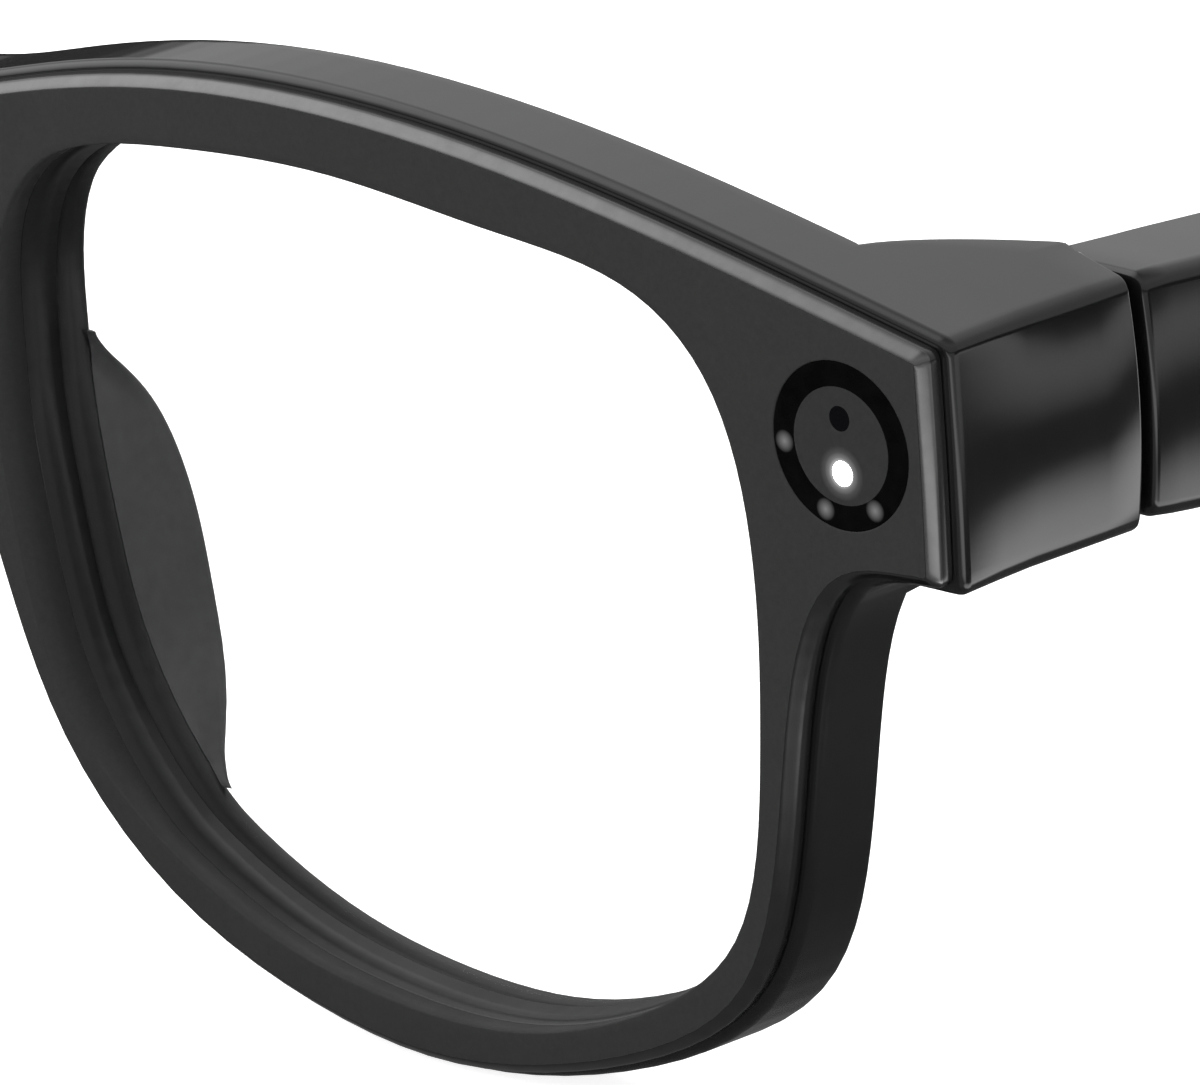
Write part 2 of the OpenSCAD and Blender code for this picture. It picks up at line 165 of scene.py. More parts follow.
def glass(name, color, alpha, roughness):
    """Thin coated glass that the background shows through."""
    material, tree, shader = new_material(name, color, roughness)
    shader.inputs["Alpha"].default_value = alpha
    smear = add(tree, "ShaderNodeTexNoise", Scale=60.0, Detail=2.0)
    tree.links.new(coordinates(tree), smear.inputs["Vector"])
    tree.links.new(ramp(tree, smear.outputs["Fac"], [(0.35, roughness), (0.7, roughness + 0.03)]),
                   shader.inputs["Roughness"])
    return material


def lit(name, color, strength):
    """A lit diffuser, evenly bright, with fine speckle in its base colour."""
    material, tree, shader = new_material(name, color, 0.3)
    shader.inputs["Emission Color"].default_value = (*color, 1)
    speck = add(tree, "ShaderNodeTexNoise", Scale=2500.0, Detail=2.0)
    tree.links.new(coordinates(tree), speck.inputs["Vector"])
    tree.links.new(ramp(tree, speck.outputs["Fac"], [(0.2, 0.9), (0.8, 1.0)]),
                   shader.inputs["Base Color"])
    shader.inputs["Emission Strength"].default_value = strength
    return material


def around(tree, centre, stops):
    """A grey that depends on the distance from a point, in metres."""
    place = tree.nodes.new("ShaderNodeTexCoord")
    apart = add(tree, "ShaderNodeVectorMath", operation="DISTANCE")
    apart.inputs[1].default_value = centre
    tree.links.new(place.outputs["Object"], apart.inputs[0])
    reach = stops[-1][0]
    share = add(tree, "ShaderNodeMath", operation="DIVIDE")
    share.inputs[1].default_value = reach
    tree.links.new(apart.outputs["Value"], share.inputs[0])
    return ramp(tree, share.outputs["Value"], [(d / reach, grey) for d, grey in stops])


def middle(node):
    low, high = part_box(node)
    return (low + high) / 2


GLOSS_BLACK = plain("gloss_black", (0.004, 0.004, 0.0042), 0.12, grain=500, spread=0.15,
                    rough_spread=0.02, bump=0.012)
COVER_BLACK = plain("cover_black", (0.006, 0.006, 0.0062), 0.22, grain=700, spread=0.15,
                    rough_spread=0.04, bump=0.02)
MATTE_FACE = plain("matte_face", (0.0165, 0.0165, 0.0165), 0.6, grain=3800, spread=0.12,
                   rough_spread=0.06, bump=0.1, specular=0.25)
INNER_SATIN = plain("inner_satin", (0.006, 0.006, 0.0062), 0.34, grain=1600, spread=0.15,
                    rough_spread=0.05, bump=0.04, specular=0.32)
PLATE_RIM = plain("plate_rim", (0.006, 0.006, 0.0062), 0.2, grain=900, spread=0.12,
                  rough_spread=0.04, bump=0.03)
EDGE = plain("polished_edge", (0.13, 0.13, 0.13), 0.2, grain=900, spread=0.08,
             rough_spread=0.03, bump=0.02, metallic=1.0)
PAD_SATIN = plain("pad_satin", (0.03, 0.03, 0.031), 0.36, grain=1500, spread=0.15,
                  rough_spread=0.05, bump=0.08)
LENS_CLEAR = glass("lens_clear", (0.02, 0.02, 0.02), 0.035, 0.02)
STEEL = plain("hinge_steel", (0.42, 0.42, 0.43), 0.3, grain=2600, spread=0.1, bump=0.12,
              stretch=(1, 1, 0.1), metallic=1.0)
SCREW_STEEL = plain("screw_steel", (0.2, 0.2, 0.21), 0.32, grain=3000, bump=0.1, metallic=1.0)
SHIELD = plain("shield_steel", (0.55, 0.55, 0.57), 0.35, grain=2000, bump=0.08,
               stretch=(1, 0.15, 1), metallic=1.0)
GOLD = plain("contact_gold", (0.75, 0.52, 0.2), 0.25, grain=2500, bump=0.06, metallic=1.0)
BOARD = plain("board_green", (0.02, 0.09, 0.04), 0.4, grain=1800, spread=0.3, bump=0.15)
FLEX = plain("flex_amber", (0.42, 0.19, 0.03), 0.35, grain=1200, spread=0.2, bump=0.1)
HOUSING = plain("sensor_black", (0.02, 0.02, 0.021), 0.45, grain=1800, bump=0.12)
FOIL = plain("battery_foil", (0.5, 0.51, 0.53), 0.38, grain=700, spread=0.1, bump=0.35,
             metallic=0.9)
GRILLE = plain("grille_black", (0.016, 0.016, 0.016), 0.5, grain=2600, bump=0.15)
CONTROL = plain("control_gloss", (0.018, 0.018, 0.019), 0.2, grain=900, bump=0.03)
OPTIC = plain("optic_glass", (0.001, 0.001, 0.0015), 0.12, grain=400, bump=0.005, specular=0.15)
LED_ON = lit("led_white", (1.0, 1.0, 1.0), 6.0)
LED_OFF = plain("led_diffuser", (0.35, 0.35, 0.36), 0.35, grain=1800, spread=0.08, bump=0.05)


# where the ring's painted highlights sit: distance from the lamp's middle, and angles in degrees
RING_HIGHLIGHT_RADIUS = 3.34 * MM
RING_HIGHLIGHT_TURNS = (185, 251, 304)


def ring_material(name, lamp_node):
    """Deep black ring with three faint soft dots of emission: painted highlights."""
    material, tree, shader = new_material(name, (0.0015, 0.0015, 0.0015), 0.08, coat=0.0)
    shader.inputs["Specular IOR Level"].default_value = 0.03
    grain = add(tree, "ShaderNodeTexNoise", Scale=900.0, Detail=3.0)
    tree.links.new(coordinates(tree), grain.inputs["Vector"])
    tree.links.new(ramp(tree, grain.outputs["Fac"], [(0.3, 0.10), (0.7, 0.16)]),
                   shader.inputs["Roughness"])
    tree.links.new(ramp(tree, grain.outputs["Fac"], [(0.3, 0.001), (0.7, 0.002)]),
                   shader.inputs["Base Color"])
    centre = middle(lamp_node)
    side = 1 if centre.x > 0 else -1
    total = None
    # painted highlights: three soft spots of emission on the ring
    for turn in RING_HIGHLIGHT_TURNS:
        a = math.radians(turn)
        dot = centre + Vector((side * math.cos(a), 0, math.sin(a))) * RING_HIGHLIGHT_RADIUS
        dot.y = FACE_Y + sag(dot.x)
        painted_glow = around(tree, dot, [(0.0, 1.0), (0.25 * MM, 0.55), (0.55 * MM, 0.0)])
        if total is None:
            total = painted_glow
        else:
            joined = add(tree, "ShaderNodeMath", operation="ADD", use_clamp=True)
            tree.links.new(total, joined.inputs[0])
            tree.links.new(painted_glow, joined.inputs[1])
            total = joined.outputs["Value"]
    strength = add(tree, "ShaderNodeMath", operation="MULTIPLY")
    strength.inputs[1].default_value = 0.2
    tree.links.new(total, strength.inputs[0])
    tree.links.new(strength.outputs["Value"], shader.inputs["Emission Strength"])
    shader.inputs["Emission Color"].default_value = (1, 1, 1, 1)
    return material


def window_material(name, lamp_node, painted_glow):
    """Matte disc like the face, with a painted glow round the lamp: a soft halo of emission on the disc.
    """
    material = plain(name, (0.015, 0.015, 0.015), 0.6, grain=3800, spread=0.12, bump=0.1,
                     specular=0.25)
    tree = material.node_tree
    shader = tree.nodes["Principled BSDF"]
    lamp = middle(lamp_node)
    lamp.y = FACE_Y + sag(lamp.x)
    # painted glow: emission on the disc that fades with distance from the lamp
    painted_halo = around(tree, lamp, [(0.0, 1.0), (0.5 * MM, 0.75), (0.75 * MM, 0.2), (1.0 * MM, 0.05),
                               (1.3 * MM, 0.0)])
    strength = add(tree, "ShaderNodeMath", operation="MULTIPLY")
    strength.inputs[1].default_value = painted_glow
    tree.links.new(painted_halo, strength.inputs[0])
    tree.links.new(strength.outputs["Value"], shader.inputs["Emission Strength"])
    shader.inputs["Emission Color"].default_value = (1, 1, 1, 1)
    return material


# ---------------------------------------------------------------- outlines
def sag(x):
    """How far the wrapped face lies behind its middle at x."""
    return WRAP_RADIUS - math.sqrt(WRAP_RADIUS ** 2 - x * x)


def face_loops():
    """Border loops [x, z] of the CAD face plate's front layer, longest first."""
    mesh = bmesh.new()
    mesh.from_mesh(frame["nodes"]["face_plate"].data)
    bmesh.ops.remove_doubles(mesh, verts=mesh.verts, dist=0.002 * MM)
    front = {v for v in mesh.verts if abs(v.co.y - FACE_Y - sag(v.co.x)) < 0.02 * MM}
    layer = {f for f in mesh.faces if all(v in front for v in f.verts)}
    beside = {}
    for edge in mesh.edges:
        if sum(f in layer for f in edge.link_faces) == 1:
            for a, b in (edge.verts, reversed(edge.verts)):
                beside.setdefault(a, []).append(b)
    loops, left = [], dict.fromkeys(beside)
    while left:
        start = next(iter(left))
        del left[start]
        loop, last, here = [start], None, start
        while True:
            ahead = [v for v in beside[here] if v is not last and (v in left or v is start)]
            if not ahead or ahead[0] is start:
                break
            last, here = here, ahead[0]
            left.pop(here, None)
            loop.append(here)
        loops.append([Vector((v.co.x, v.co.z)) for v in loop])
    mesh.free()
    return sorted(loops, key=lambda p: -len(p))


def smooth_step(value):
    value = min(1.0, max(0.0, value))
    return value * value * (3 - 2 * value)


def area(loop):
    return sum(a.x * b.y - a.y * b.x for a, b in zip(loop, loop[1:] + loop[:1])) / 2


def clockwise(loop):
    return loop if area(loop) < 0 else loop[::-1]


def drop_close(loop, gap):
    """The loop without points closer than gap to the one before."""
    kept = []
    for p in loop:
        if not kept or (p - kept[-1]).length > gap:
            kept.append(p)
    if (kept[0] - kept[-1]).length <= gap:
        kept.pop()
    return kept


def between(p, i, u):
    """Catmull-Rom curve through a closed loop."""
    a, b, c, d = (p[(i + k) % len(p)] for k in (-1, 0, 1, 2))
    return 0.5 * (2 * b + (c - a) * u + (2 * a - 5 * b + 4 * c - d) * u * u
                  + (3 * b - a - 3 * c + d) * u ** 3)


def even(loop, spacing):
    """The smooth closed curve through a loop, in equal steps."""
    fine = [between(loop, i, k / 8) for i in range(len(loop)) for k in range(8)]
    fine.append(fine[0])
    lengths = [0.0]
    for a, b in zip(fine, fine[1:]):
        lengths.append(lengths[-1] + (b - a).length)
    count = int(round(lengths[-1] / spacing))
    points, j = [], 0
    for k in range(count):
        want = lengths[-1] * k / count
        while lengths[j + 1] < want:
            j += 1
        share = (want - lengths[j]) / (lengths[j + 1] - lengths[j])
        points.append(fine[j].lerp(fine[j + 1], share))
    return points


def normals(loop):
    """Unit outward normals of a clockwise closed loop."""
    made = []
    for a, c in zip(loop[-1:] + loop[:-1], loop[1:] + loop[:1]):
        d = c - a
        made.append(Vector((-d.y, d.x)).normalized())
    return made


def moved(loop, out):
    """The loop moved outward by a distance, or by one distance per point."""
    outs = out if isinstance(out, list) else [out] * len(loop)
    return [p + n * o for p, n, o in zip(loop, normals(loop), outs)]


CORNER_FLANK = 2.0 * MM      # where the flanks beside an endpiece's corner run straight
CORNER_ROUND = 1.5 * MM      # reach of its rounding
CORNER_BLEND = 3.2 * MM      # reach of the change
CORNER_SHARP = 0.45          # how much smaller its radius becomes


def corner_between(points, i):
    """Where the straight flanks on both sides of a rounded corner would meet."""
    def along(step, reach):
        j = i
        while (points[j] - points[i]).length < reach:
            j = (j + step) % len(points)
        return points[j]

    a, b = along(-1, CORNER_FLANK), along(-1, 1.6 * CORNER_FLANK)
    c, d = along(1, CORNER_FLANK), along(1, 1.6 * CORNER_FLANK)
    u, v = b - a, d - c
    share = ((c.x - a.x) * v.y - (c.y - a.y) * v.x) / (u.x * v.y - u.y * v.x)
    return a + u * share


def squared(points):
    """The points with the outer corners of the endpieces drawn in to a small radius."""
    made = list(points)
    for side in (1, -1):
        if not any(p.x * side > 70 * MM for p in points):
            continue
        for up in (0.3, -0.3):
            i = max(range(len(made)), key=lambda k: made[k].x * side + made[k].y * up)
            corner = corner_between(made, i)
            for k, p in enumerate(made):
                apart = (p - corner).length
                if apart < CORNER_ROUND:
                    made[k] = corner + (p - corner) * CORNER_SHARP
                elif apart < CORNER_BLEND:
                    near = CORNER_SHARP * CORNER_ROUND
                    share = (apart - CORNER_ROUND) / (CORNER_BLEND - CORNER_ROUND)
                    made[k] = corner + (p - corner) * ((near + (CORNER_BLEND - near) * share) / apart)
    return made


def inside(p, loop):
    hit = False
    for a, b in zip(loop, loop[1:] + loop[:1]):
        if (a.y > p.y) != (b.y > p.y) and p.x < (b.x - a.x) * (p.y - a.y) / (b.y - a.y) + a.x:
            hit = not hit
    return hit


# ---------------------------------------------------------------- mesh helpers
def at_depth(p, depth):
    """A point of the front's plane, at a depth behind the wrapped face."""
    return Vector((p.x, FACE_Y + sag(p.x) + depth, p.y))


def ring(mesh, points):
    return [mesh.verts.new(p) for p in points]


def strip(mesh, a, b, closed=True, material=0):
    """Quads between two rings of vertices."""
    count = len(a) if closed else len(a) - 1
    for i in range(count):
        j = (i + 1) % len(a)
        face = mesh.faces.new((a[i], a[j], b[j], b[i]))
        face.material_index = material
        face.smooth = True


def fill(mesh, outer, holes, lift, grid=1.6 * MM, material=0):
    """Triangles between an outer ring of vertices and holes, with an even grid of points inside.
    lift turns a point of the plane [x, z] into space."""
    loops = [[Vector((v.co.x, v.co.z)) for v in r] for r in [outer] + holes]
    flat, edges, made = [], [], []
    for loop, verts in zip(loops, [outer] + holes):
        start = len(flat)
        flat += loop
        made += verts
        edges += [(start + i, start + (i + 1) % len(loop)) for i in range(len(loop))]
    low = Vector((min(p.x for p in flat), min(p.y for p in flat)))
    high = Vector((max(p.x for p in flat), max(p.y for p in flat)))
    near = {}
    for p in flat:
        near.setdefault((int(p.x // grid), int(p.y // grid)), []).append(p)
    rows = int((high.y - low.y) / grid)
    for row in range(rows + 1):
        for column in range(int((high.x - low.x) / grid) + 1):
            p = low + Vector(((column + 0.5 * (row % 2)) * grid, row * grid))
            cell = (int(p.x // grid), int(p.y // grid))
            close = [q for dx in (-1, 0, 1) for dy in (-1, 0, 1)
                     for q in near.get((cell[0] + dx, cell[1] + dy), [])]
            if any((p - q).length < 0.55 * grid for q in close):
                continue
            if inside(p, loops[0]) and not any(inside(p, hole) for hole in loops[1:]):
                flat.append(p)
                made.append(mesh.verts.new(lift(p)))
    points, _, faces, origin, _, _ = delaunay_2d_cdt(flat, edges, [], 0, 1e-9)
    corner = {i: made[came[0]] if came else mesh.verts.new(lift(points[i]))
              for i, came in enumerate(origin)}
    for face in faces:
        centre = sum((points[i] for i in face), Vector((0, 0))) / len(face)
        if inside(centre, loops[0]) and not any(inside(centre, hole) for hole in loops[1:]):
            corners = [corner[i] for i in face]
            if len(set(corners)) == 3 and mesh.faces.get(corners) is None:
                made_face = mesh.faces.new(corners)
                made_face.material_index = material
                made_face.smooth = True


def finish_mesh(mesh, name, materials, body, *replaced, slot=None):
    """Turns a bmesh into a piece that rides on a body."""
    bmesh.ops.remove_doubles(mesh, verts=mesh.verts, dist=0.0005 * MM)
    bmesh.ops.recalc_face_normals(mesh, faces=mesh.faces)
    data = bpy.data.meshes.new(name)
    mesh.to_mesh(data)
    mesh.free()
    for material in materials:
        data.materials.append(material)
    piece = bpy.data.objects.new(name, data)
    bpy.context.scene.collection.objects.link(piece)
    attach(piece, body)
    if replaced:
        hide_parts(*replaced)
    return piece


def apply_modifiers(piece):
    """Bakes a piece's modifiers into its mesh."""
    graph = bpy.context.evaluated_depsgraph_get()
    made = bpy.data.meshes.new_from_object(piece.evaluated_get(graph))
    piece.modifiers.clear()
    piece.data = made


def soften(piece, width, segments=4):
    """Rounds the edges of a piece that carry a bevel weight."""
    bevel = piece.modifiers.new("bevel", "BEVEL")
    bevel.width, bevel.segments, bevel.limit_method = width, segments, "WEIGHT"
    bevel.use_clamp_overlap = False
    apply_modifiers(piece)


def cut(piece, *cutters):
    """Subtracts closed bmeshes from a piece."""
    for cutter in cutters:
        bmesh.ops.recalc_face_normals(cutter, faces=cutter.faces)
        data = bpy.data.meshes.new("cutter")
        cutter.to_mesh(data)
        cutter.free()
        tool = bpy.data.objects.new("cutter", data)
        bpy.context.scene.collection.objects.link(tool)
        boolean = piece.modifiers.new("cut", "BOOLEAN")
        boolean.operation, boolean.solver, boolean.object = "DIFFERENCE", "EXACT", tool
        apply_modifiers(piece)
        bpy.data.objects.remove(tool)


def drum(centre, radius, low, high, segments=48):
    """A closed upright cylinder."""
    mesh = bmesh.new()
    rings = [ring(mesh, [Vector((centre.x + radius * math.cos(2 * math.pi * k / segments),
                                 centre.y + radius * math.sin(2 * math.pi * k / segments), z))
                         for k in range(segments)]) for z in (low, high)]
    strip(mesh, *rings)
    mesh.faces.new(rings[0])
    mesh.faces.new(rings[1])
    return mesh


def hinge_bore(side):
    """Cutter round a hinge screw."""
    low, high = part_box("hinge_screw_left")
    return drum(Vector((side * PIVOT.x, PIVOT.y)), 1.5 * MM, low.z - 0.3 * MM, high.z + 0.3 * MM)


def brick(low, high):
    """A closed box between two corners."""
    mesh = bmesh.new()
    bmesh.ops.create_cube(mesh, size=1)
    for v in mesh.verts:
        v.co = Vector(low[k] + (v.co[k] + 0.5) * (high[k] - low[k]) for k in range(3))
    return mesh


# ---------------------------------------------------------------- the front
LOOP_STEP = 0.3 * MM
SORTED_LOOPS = face_loops()
OPENINGS = [p for p in SORTED_LOOPS[1:] if abs(area(p)) > 0.0005]
# the plate's front layer stands PLATE_EDGE outside the flat face
FLAT_LOOP = moved(even(drop_close(clockwise(SORTED_LOOPS[0]), 0.05 * MM), LOOP_STEP), -PLATE_EDGE)
OPENING_LOOPS = [even(drop_close(clockwise(p), 0.05 * MM), LOOP_STEP) for p in OPENINGS]
WINDOW_SEGMENTS = 72


def window_ring(side, radius):
    """Circle round a camera window, in the plane of the front."""
    low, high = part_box("camera_ring" if side > 0 else "light_ring")
    reach = (high.z - low.z) / 2
    centre = Vector((side * (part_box("camera_lens")[0].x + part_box("camera_lens")[1].x) / 2,
                     low.z + reach))
    return [centre + Vector((math.cos(a), math.sin(a))) * (radius * reach)
            for a in (2 * math.pi * k / WINDOW_SEGMENTS for k in range(WINDOW_SEGMENTS))]


def sweep(mesh, loop, profile, kinds=None, shape=list):
    """Rings along a loop for a profile of (outward, depth); returns the first and last ring.
    shape changes the points of each ring."""
    rings = []
    for k, (out, depth) in enumerate(profile):
        rings.append(ring(mesh, [at_depth(p, depth) for p in shape(moved(loop, out))]))
        if k:
            strip(mesh, rings[k - 1], rings[k], material=kinds[k - 1] if kinds else 0)
    return rings[0], rings[-1]


def arc(centre, radius, start, end, steps):
    """Points of an arc in a profile, angles in degrees from outward towards depth."""
    turns = [math.radians(start + (end - start) * k / steps) for k in range(steps + 1)]
    return [(centre[0] + radius * math.cos(a), centre[1] + radius * math.sin(a)) for a in turns]


NASAL_SLANT = 1.2 * MM       # how far the rim grows into the opening beside the nose
BROW_DEPTH = 0.45 * MM       # extra depth along the brow


def nasal(p):
    """1 at the nose side of an opening, 0 at its far side and along the brow."""
    return smooth_step((22 * MM - abs(p.x)) / (8 * MM)) * smooth_step((40 * MM - p.y) / (10 * MM))


def rim_depth(p):
    """Depth of the front's rear face, a little more along the brow."""
    return FRONT_T + BROW_DEPTH * smooth_step((p.y - 39 * MM) / (3 * MM))


def build_face_plate():
    """Matte plate with a polished chamfer outside and a small broken edge round the openings."""
    mesh = bmesh.new()
    edge = PLATE_EDGE
    chamfer = [(-0.15 * MM, 0), (-0.03 * MM, 0), (0.02 * MM, 0.01 * MM),
               (0.15 * MM, 0.11 * MM), (0.28 * MM, 0.23 * MM), (0.39 * MM, 0.35 * MM),
               (edge - 0.015 * MM, edge - 0.03 * MM)]
    outside = chamfer + [(edge, edge + 0.03 * MM), (edge, PLATE_T - 0.14 * MM),
                         (edge - 0.1 * MM, PLATE_T), (-0.3 * MM, PLATE_T)]
    kinds = [0] + [2] * 6 + [1] * (len(outside) - 8)
    first, last = sweep(mesh, FLAT_LOOP, outside, kinds, squared)
    holes, backs = [], []
    for loop in OPENING_LOOPS:
        slant = [-NASAL_SLANT * nasal(p) for p in loop]
        inner = [(0.5 * MM, 0), (0.1 * MM, 0), (0.03 * MM, 0.02 * MM), (0, 0.08 * MM),
                 (slant, PLATE_T), (0.3 * MM, PLATE_T)]
        start, end = sweep(mesh, loop, inner)
        holes.append(start)
        backs.append(end)
    for side in (1, -1):
        rims = [ring(mesh, [at_depth(p, d) for p in window_ring(side, k)])
                for k, d in ((1.03, 0), (1.006, 0.0), (1.0, 0.03 * MM), (1.0, PLATE_T), (1.03, PLATE_T))]
        for a, b in zip(rims, rims[1:]):
            strip(mesh, a, b)
        holes.append(rims[0])
        backs.append(rims[-1])
    fill(mesh, first, holes, lambda p: at_depth(p, 0))
    fill(mesh, last, backs, lambda p: at_depth(p, PLATE_T), material=1)
    return finish_mesh(mesh, "face_plate_shell", [MATTE_FACE, PLATE_RIM, EDGE], "front", "face_plate",
                       slot="plate_matte")


# Endpiece: where the front runs back to the hinge
ENDPIECE_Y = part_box("front_frame")[1].y
ENDPIECE_INNER_X = 68.4 * MM
FLARE_START_X = 63.7 * MM
FLARE_FOOT_Z = 27.3 * MM
FLARE_STEPS = 18
FLARE_POWER = 0.75
SIDE_CROWN = 0.42 * MM
WALL_START = 1.8 * MM        # depth where the frame's wall runs straight back
SIDE_MIDDLE_Z = (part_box("temple_shell_left")[1].z + 29.4 * MM) / 2
SIDE_HALF = 6 * MM


def length_along(points):
    lengths = [0.0]
    for a, b in zip(points, points[1:]):
        lengths.append(lengths[-1] + (b - a).length)
    return lengths


def at_length(points, lengths, want):
    k = max(0, min(len(points) - 2, next((i for i, s in enumerate(lengths) if s > want),
                                         len(lengths) - 1) - 1))
    share = (want - lengths[k]) / (lengths[k + 1] - lengths[k])
    return points[k].lerp(points[k + 1], share)


def crowned(p, y):
    """Pulls the side of the endpiece in towards its upper and lower edges."""
    side = max(0.0, (abs(p.x) - 66 * MM) / (7 * MM))
    share = smooth_step((y - FACE_Y - 5.2 * MM) / (4 * MM))
    off = min(1.2, abs(p.y - SIDE_MIDDLE_Z) / SIDE_HALF)
    return Vector((p.x - SIDE_CROWN * off * off * side * side * share, y, p.y))


def half_wall():
    """The half of the frame's outer wall beyond the bridge, from its top round to its underside:
    points [x, z], and how many steps each stretch has: rim, flare, end, flare, rim."""
    loop = moved(FLAT_LOOP, FRAME_EDGE)
    start = max(range(len(loop)), key=lambda i: (abs(loop[i].x) < 0.4 * MM) * loop[i].y)
    turned = loop[start:] + loop[:start]
    half = [p for p in turned if p.x > 0.1 * MM]
    low = min((p for p in turned if abs(p.x) < 0.4 * MM), key=lambda p: p.y)
    half = [Vector((0, turned[0].y))] + half + [Vector((0, low.y))]
    lengths = length_along(half)

    def first(test):
        return next(s for s, p in zip(lengths, half) if test(s, p))

    a0 = first(lambda s, p: p.x > FLARE_START_X)
    a1 = first(lambda s, p: p.x > ENDPIECE_INNER_X)
    b1 = first(lambda s, p: s > a1 + 8 * MM and p.x < ENDPIECE_INNER_X)
    b0 = first(lambda s, p: s > b1 and p.y < FLARE_FOOT_Z)

    def steps(low, high, count=None):
        count = count or max(2, int((high - low) / LOOP_STEP))
        return [low + (high - low) * k / count for k in range(count)]

    stretches = [steps(0, a0), steps(a0, a1, FLARE_STEPS), steps(a1, b1),
                 steps(b1, b0, FLARE_STEPS), steps(b0, lengths[-1])]
    columns = sum(stretches, []) + [lengths[-1]]
    return [at_length(half, lengths, s) for s in columns], [len(run) for run in stretches]


def build_front_frame():
    """Glossy moulding behind the plate: rims, bridge and both endpieces."""
    mesh = bmesh.new()
    rounded = mesh.edges.layers.float.new("bevel_weight_edge")
    whole, counts = half_wall()
    i_a0 = counts[0]
    i_a1 = i_a0 + counts[1]
    i_b1 = i_a1 + counts[2]
    i_b0 = i_b1 + counts[3]
    mirrored_half = [Vector((-p.x, p.y)) for p in whole[-2:0:-1]]
    flat_normals = normals(whole + mirrored_half)[:len(whole)]
    flat_normals[0], flat_normals[-1] = Vector((0, 1)), Vector((0, -1))
    corners = squared(whole)

    def rear_y(i):
        rear = FACE_Y + sag(corners[i].x) + rim_depth(corners[i])
        if i <= i_a0 or i >= i_b0:
            return rear
        share = min(i - i_a0, i_b0 - i, FLARE_STEPS) / FLARE_STEPS
        return rear + (ENDPIECE_Y - rear) * share ** FLARE_POWER

    # outer wall: hidden land, ledge beside the plate, small round, then straight back
    ledge = [(-1.3 * MM, 1.27 * MM), (-0.5 * MM, 1.27 * MM), (-0.45 * MM, 1.3 * MM)]
    ledge += arc((-0.45 * MM, 1.75 * MM), 0.45 * MM, -84, 0, 5)
    rings = []
    for out, depth in ledge + [(0, WALL_START)]:
        level = squared([p + n * out for p, n in zip(whole, flat_normals)])
        rings.append(ring(mesh, [at_depth(p, depth) for p in level]))
    steps = 5
    for k in range(1, steps + 1):
        points = []
        for i, p in enumerate(corners):
            near = FACE_Y + sag(p.x) + WALL_START
            points.append(crowned(p, near + (rear_y(i) - near) * k / steps))
        rings.append(ring(mesh, points))
    for a, b in zip(rings, rings[1:]):
        strip(mesh, a, b, closed=False)
    rim = rings[-1]

    # flare between its upper and lower edges
    rows = 17
    grid = [rim[i_a0:i_a1 + 1]]
    foot = rim[i_b1:i_b0 + 1][::-1]
    for r in range(1, rows):
        grid.append(ring(mesh, [grid[0][k].co.lerp(foot[k].co, r / rows)
                                for k in range(FLARE_STEPS + 1)]))
    grid.append(foot)
    for a, b in zip(grid, grid[1:]):
        strip(mesh, a, b, closed=False)

    def inset_ring(verts, size, y_of):
        loop = [Vector((v.co.x, v.co.z)) for v in verts]
        pulled = moved(clockwise(loop), -size) if area(loop) < 0 else moved(loop, -size)
        return ring(mesh, [Vector((p.x, y_of(p), p.y)) for p in pulled])

    for a, b in list(zip(rim, rim[1:])) + [(a[-1], b[-1]) for a, b in zip(grid, grid[1:])]:
        mesh.edges.get((a, b))[rounded] = 1.0

    # square end of the endpiece
    end_loop = rim[i_a1:i_b1 + 1] + [row[-1] for row in grid[1:-1]][::-1]
    end_inset = inset_ring(end_loop, 0.7 * MM, lambda p: ENDPIECE_Y)
    strip(mesh, end_loop, end_inset)
    fill(mesh, end_inset, [], lambda p: Vector((p.x, ENDPIECE_Y, p.y)), grid=1.2 * MM)

    # rear face of the rims: an inset strip along the wall, then the opening
    def rear(p):
        return at_depth(p, rim_depth(p))

    strip_w = 0.75 * MM
    line = [row[0] for row in grid]
    outer_top = [mesh.verts.new(rear(whole[i] - flat_normals[i] * strip_w)) for i in range(i_a0)]
    strip(mesh, rim[:i_a0 + 1], outer_top + [line[1]], closed=False)
    outer_low = [mesh.verts.new(rear(whole[i] - flat_normals[i] * strip_w))
                 for i in range(i_b0 + 1, len(whole))]
    strip(mesh, rim[i_b0:], [line[-2]] + outer_low, closed=False)
    opening = next(p for p in OPENING_LOOPS if p[0].x > 0)
    hole_ring = opening_wall(mesh, opening)
    border = outer_top + line[1:-1] + outer_low
    fill(mesh, border, [hole_ring], rear)

    # land under the plate
    front_hole = opening_land(mesh, opening)
    fill(mesh, rings[0], [front_hole], lambda p: at_depth(p, 1.27 * MM))

    double = bmesh.ops.duplicate(mesh, geom=mesh.verts[:] + mesh.edges[:] + mesh.faces[:])
    copies = [g for g in double["geom"] if isinstance(g, bmesh.types.BMVert)]
    for v in copies:
        v.co.x = -v.co.x
    bmesh.ops.reverse_faces(mesh, faces=[g for g in double["geom"]
                                         if isinstance(g, bmesh.types.BMFace)])
    for v in mesh.verts:
        if abs(v.co.x) < 0.001 * MM:
            v.co.x = 0
    piece = finish_mesh(mesh, "front_frame_shell", [GLOSS_BLACK, INNER_SATIN], "front", "front_frame",
                        slot="frame_gloss")
    soften(piece, 0.24 * MM)
    cut(piece, hinge_bore(1), hinge_bore(-1))
    return piece


GROOVE = 3.35 * MM


def front_lip(p):
    """Where the frame's inner wall starts behind the plate, as a distance out of the opening."""
    return -NASAL_SLANT * nasal(p) - 0.02 * MM


def rear_lip(p):
    """Where the rear lip stands behind the lens, as a distance out of the opening."""
    return -(0.2 + 1.2 * nasal(p)) * MM


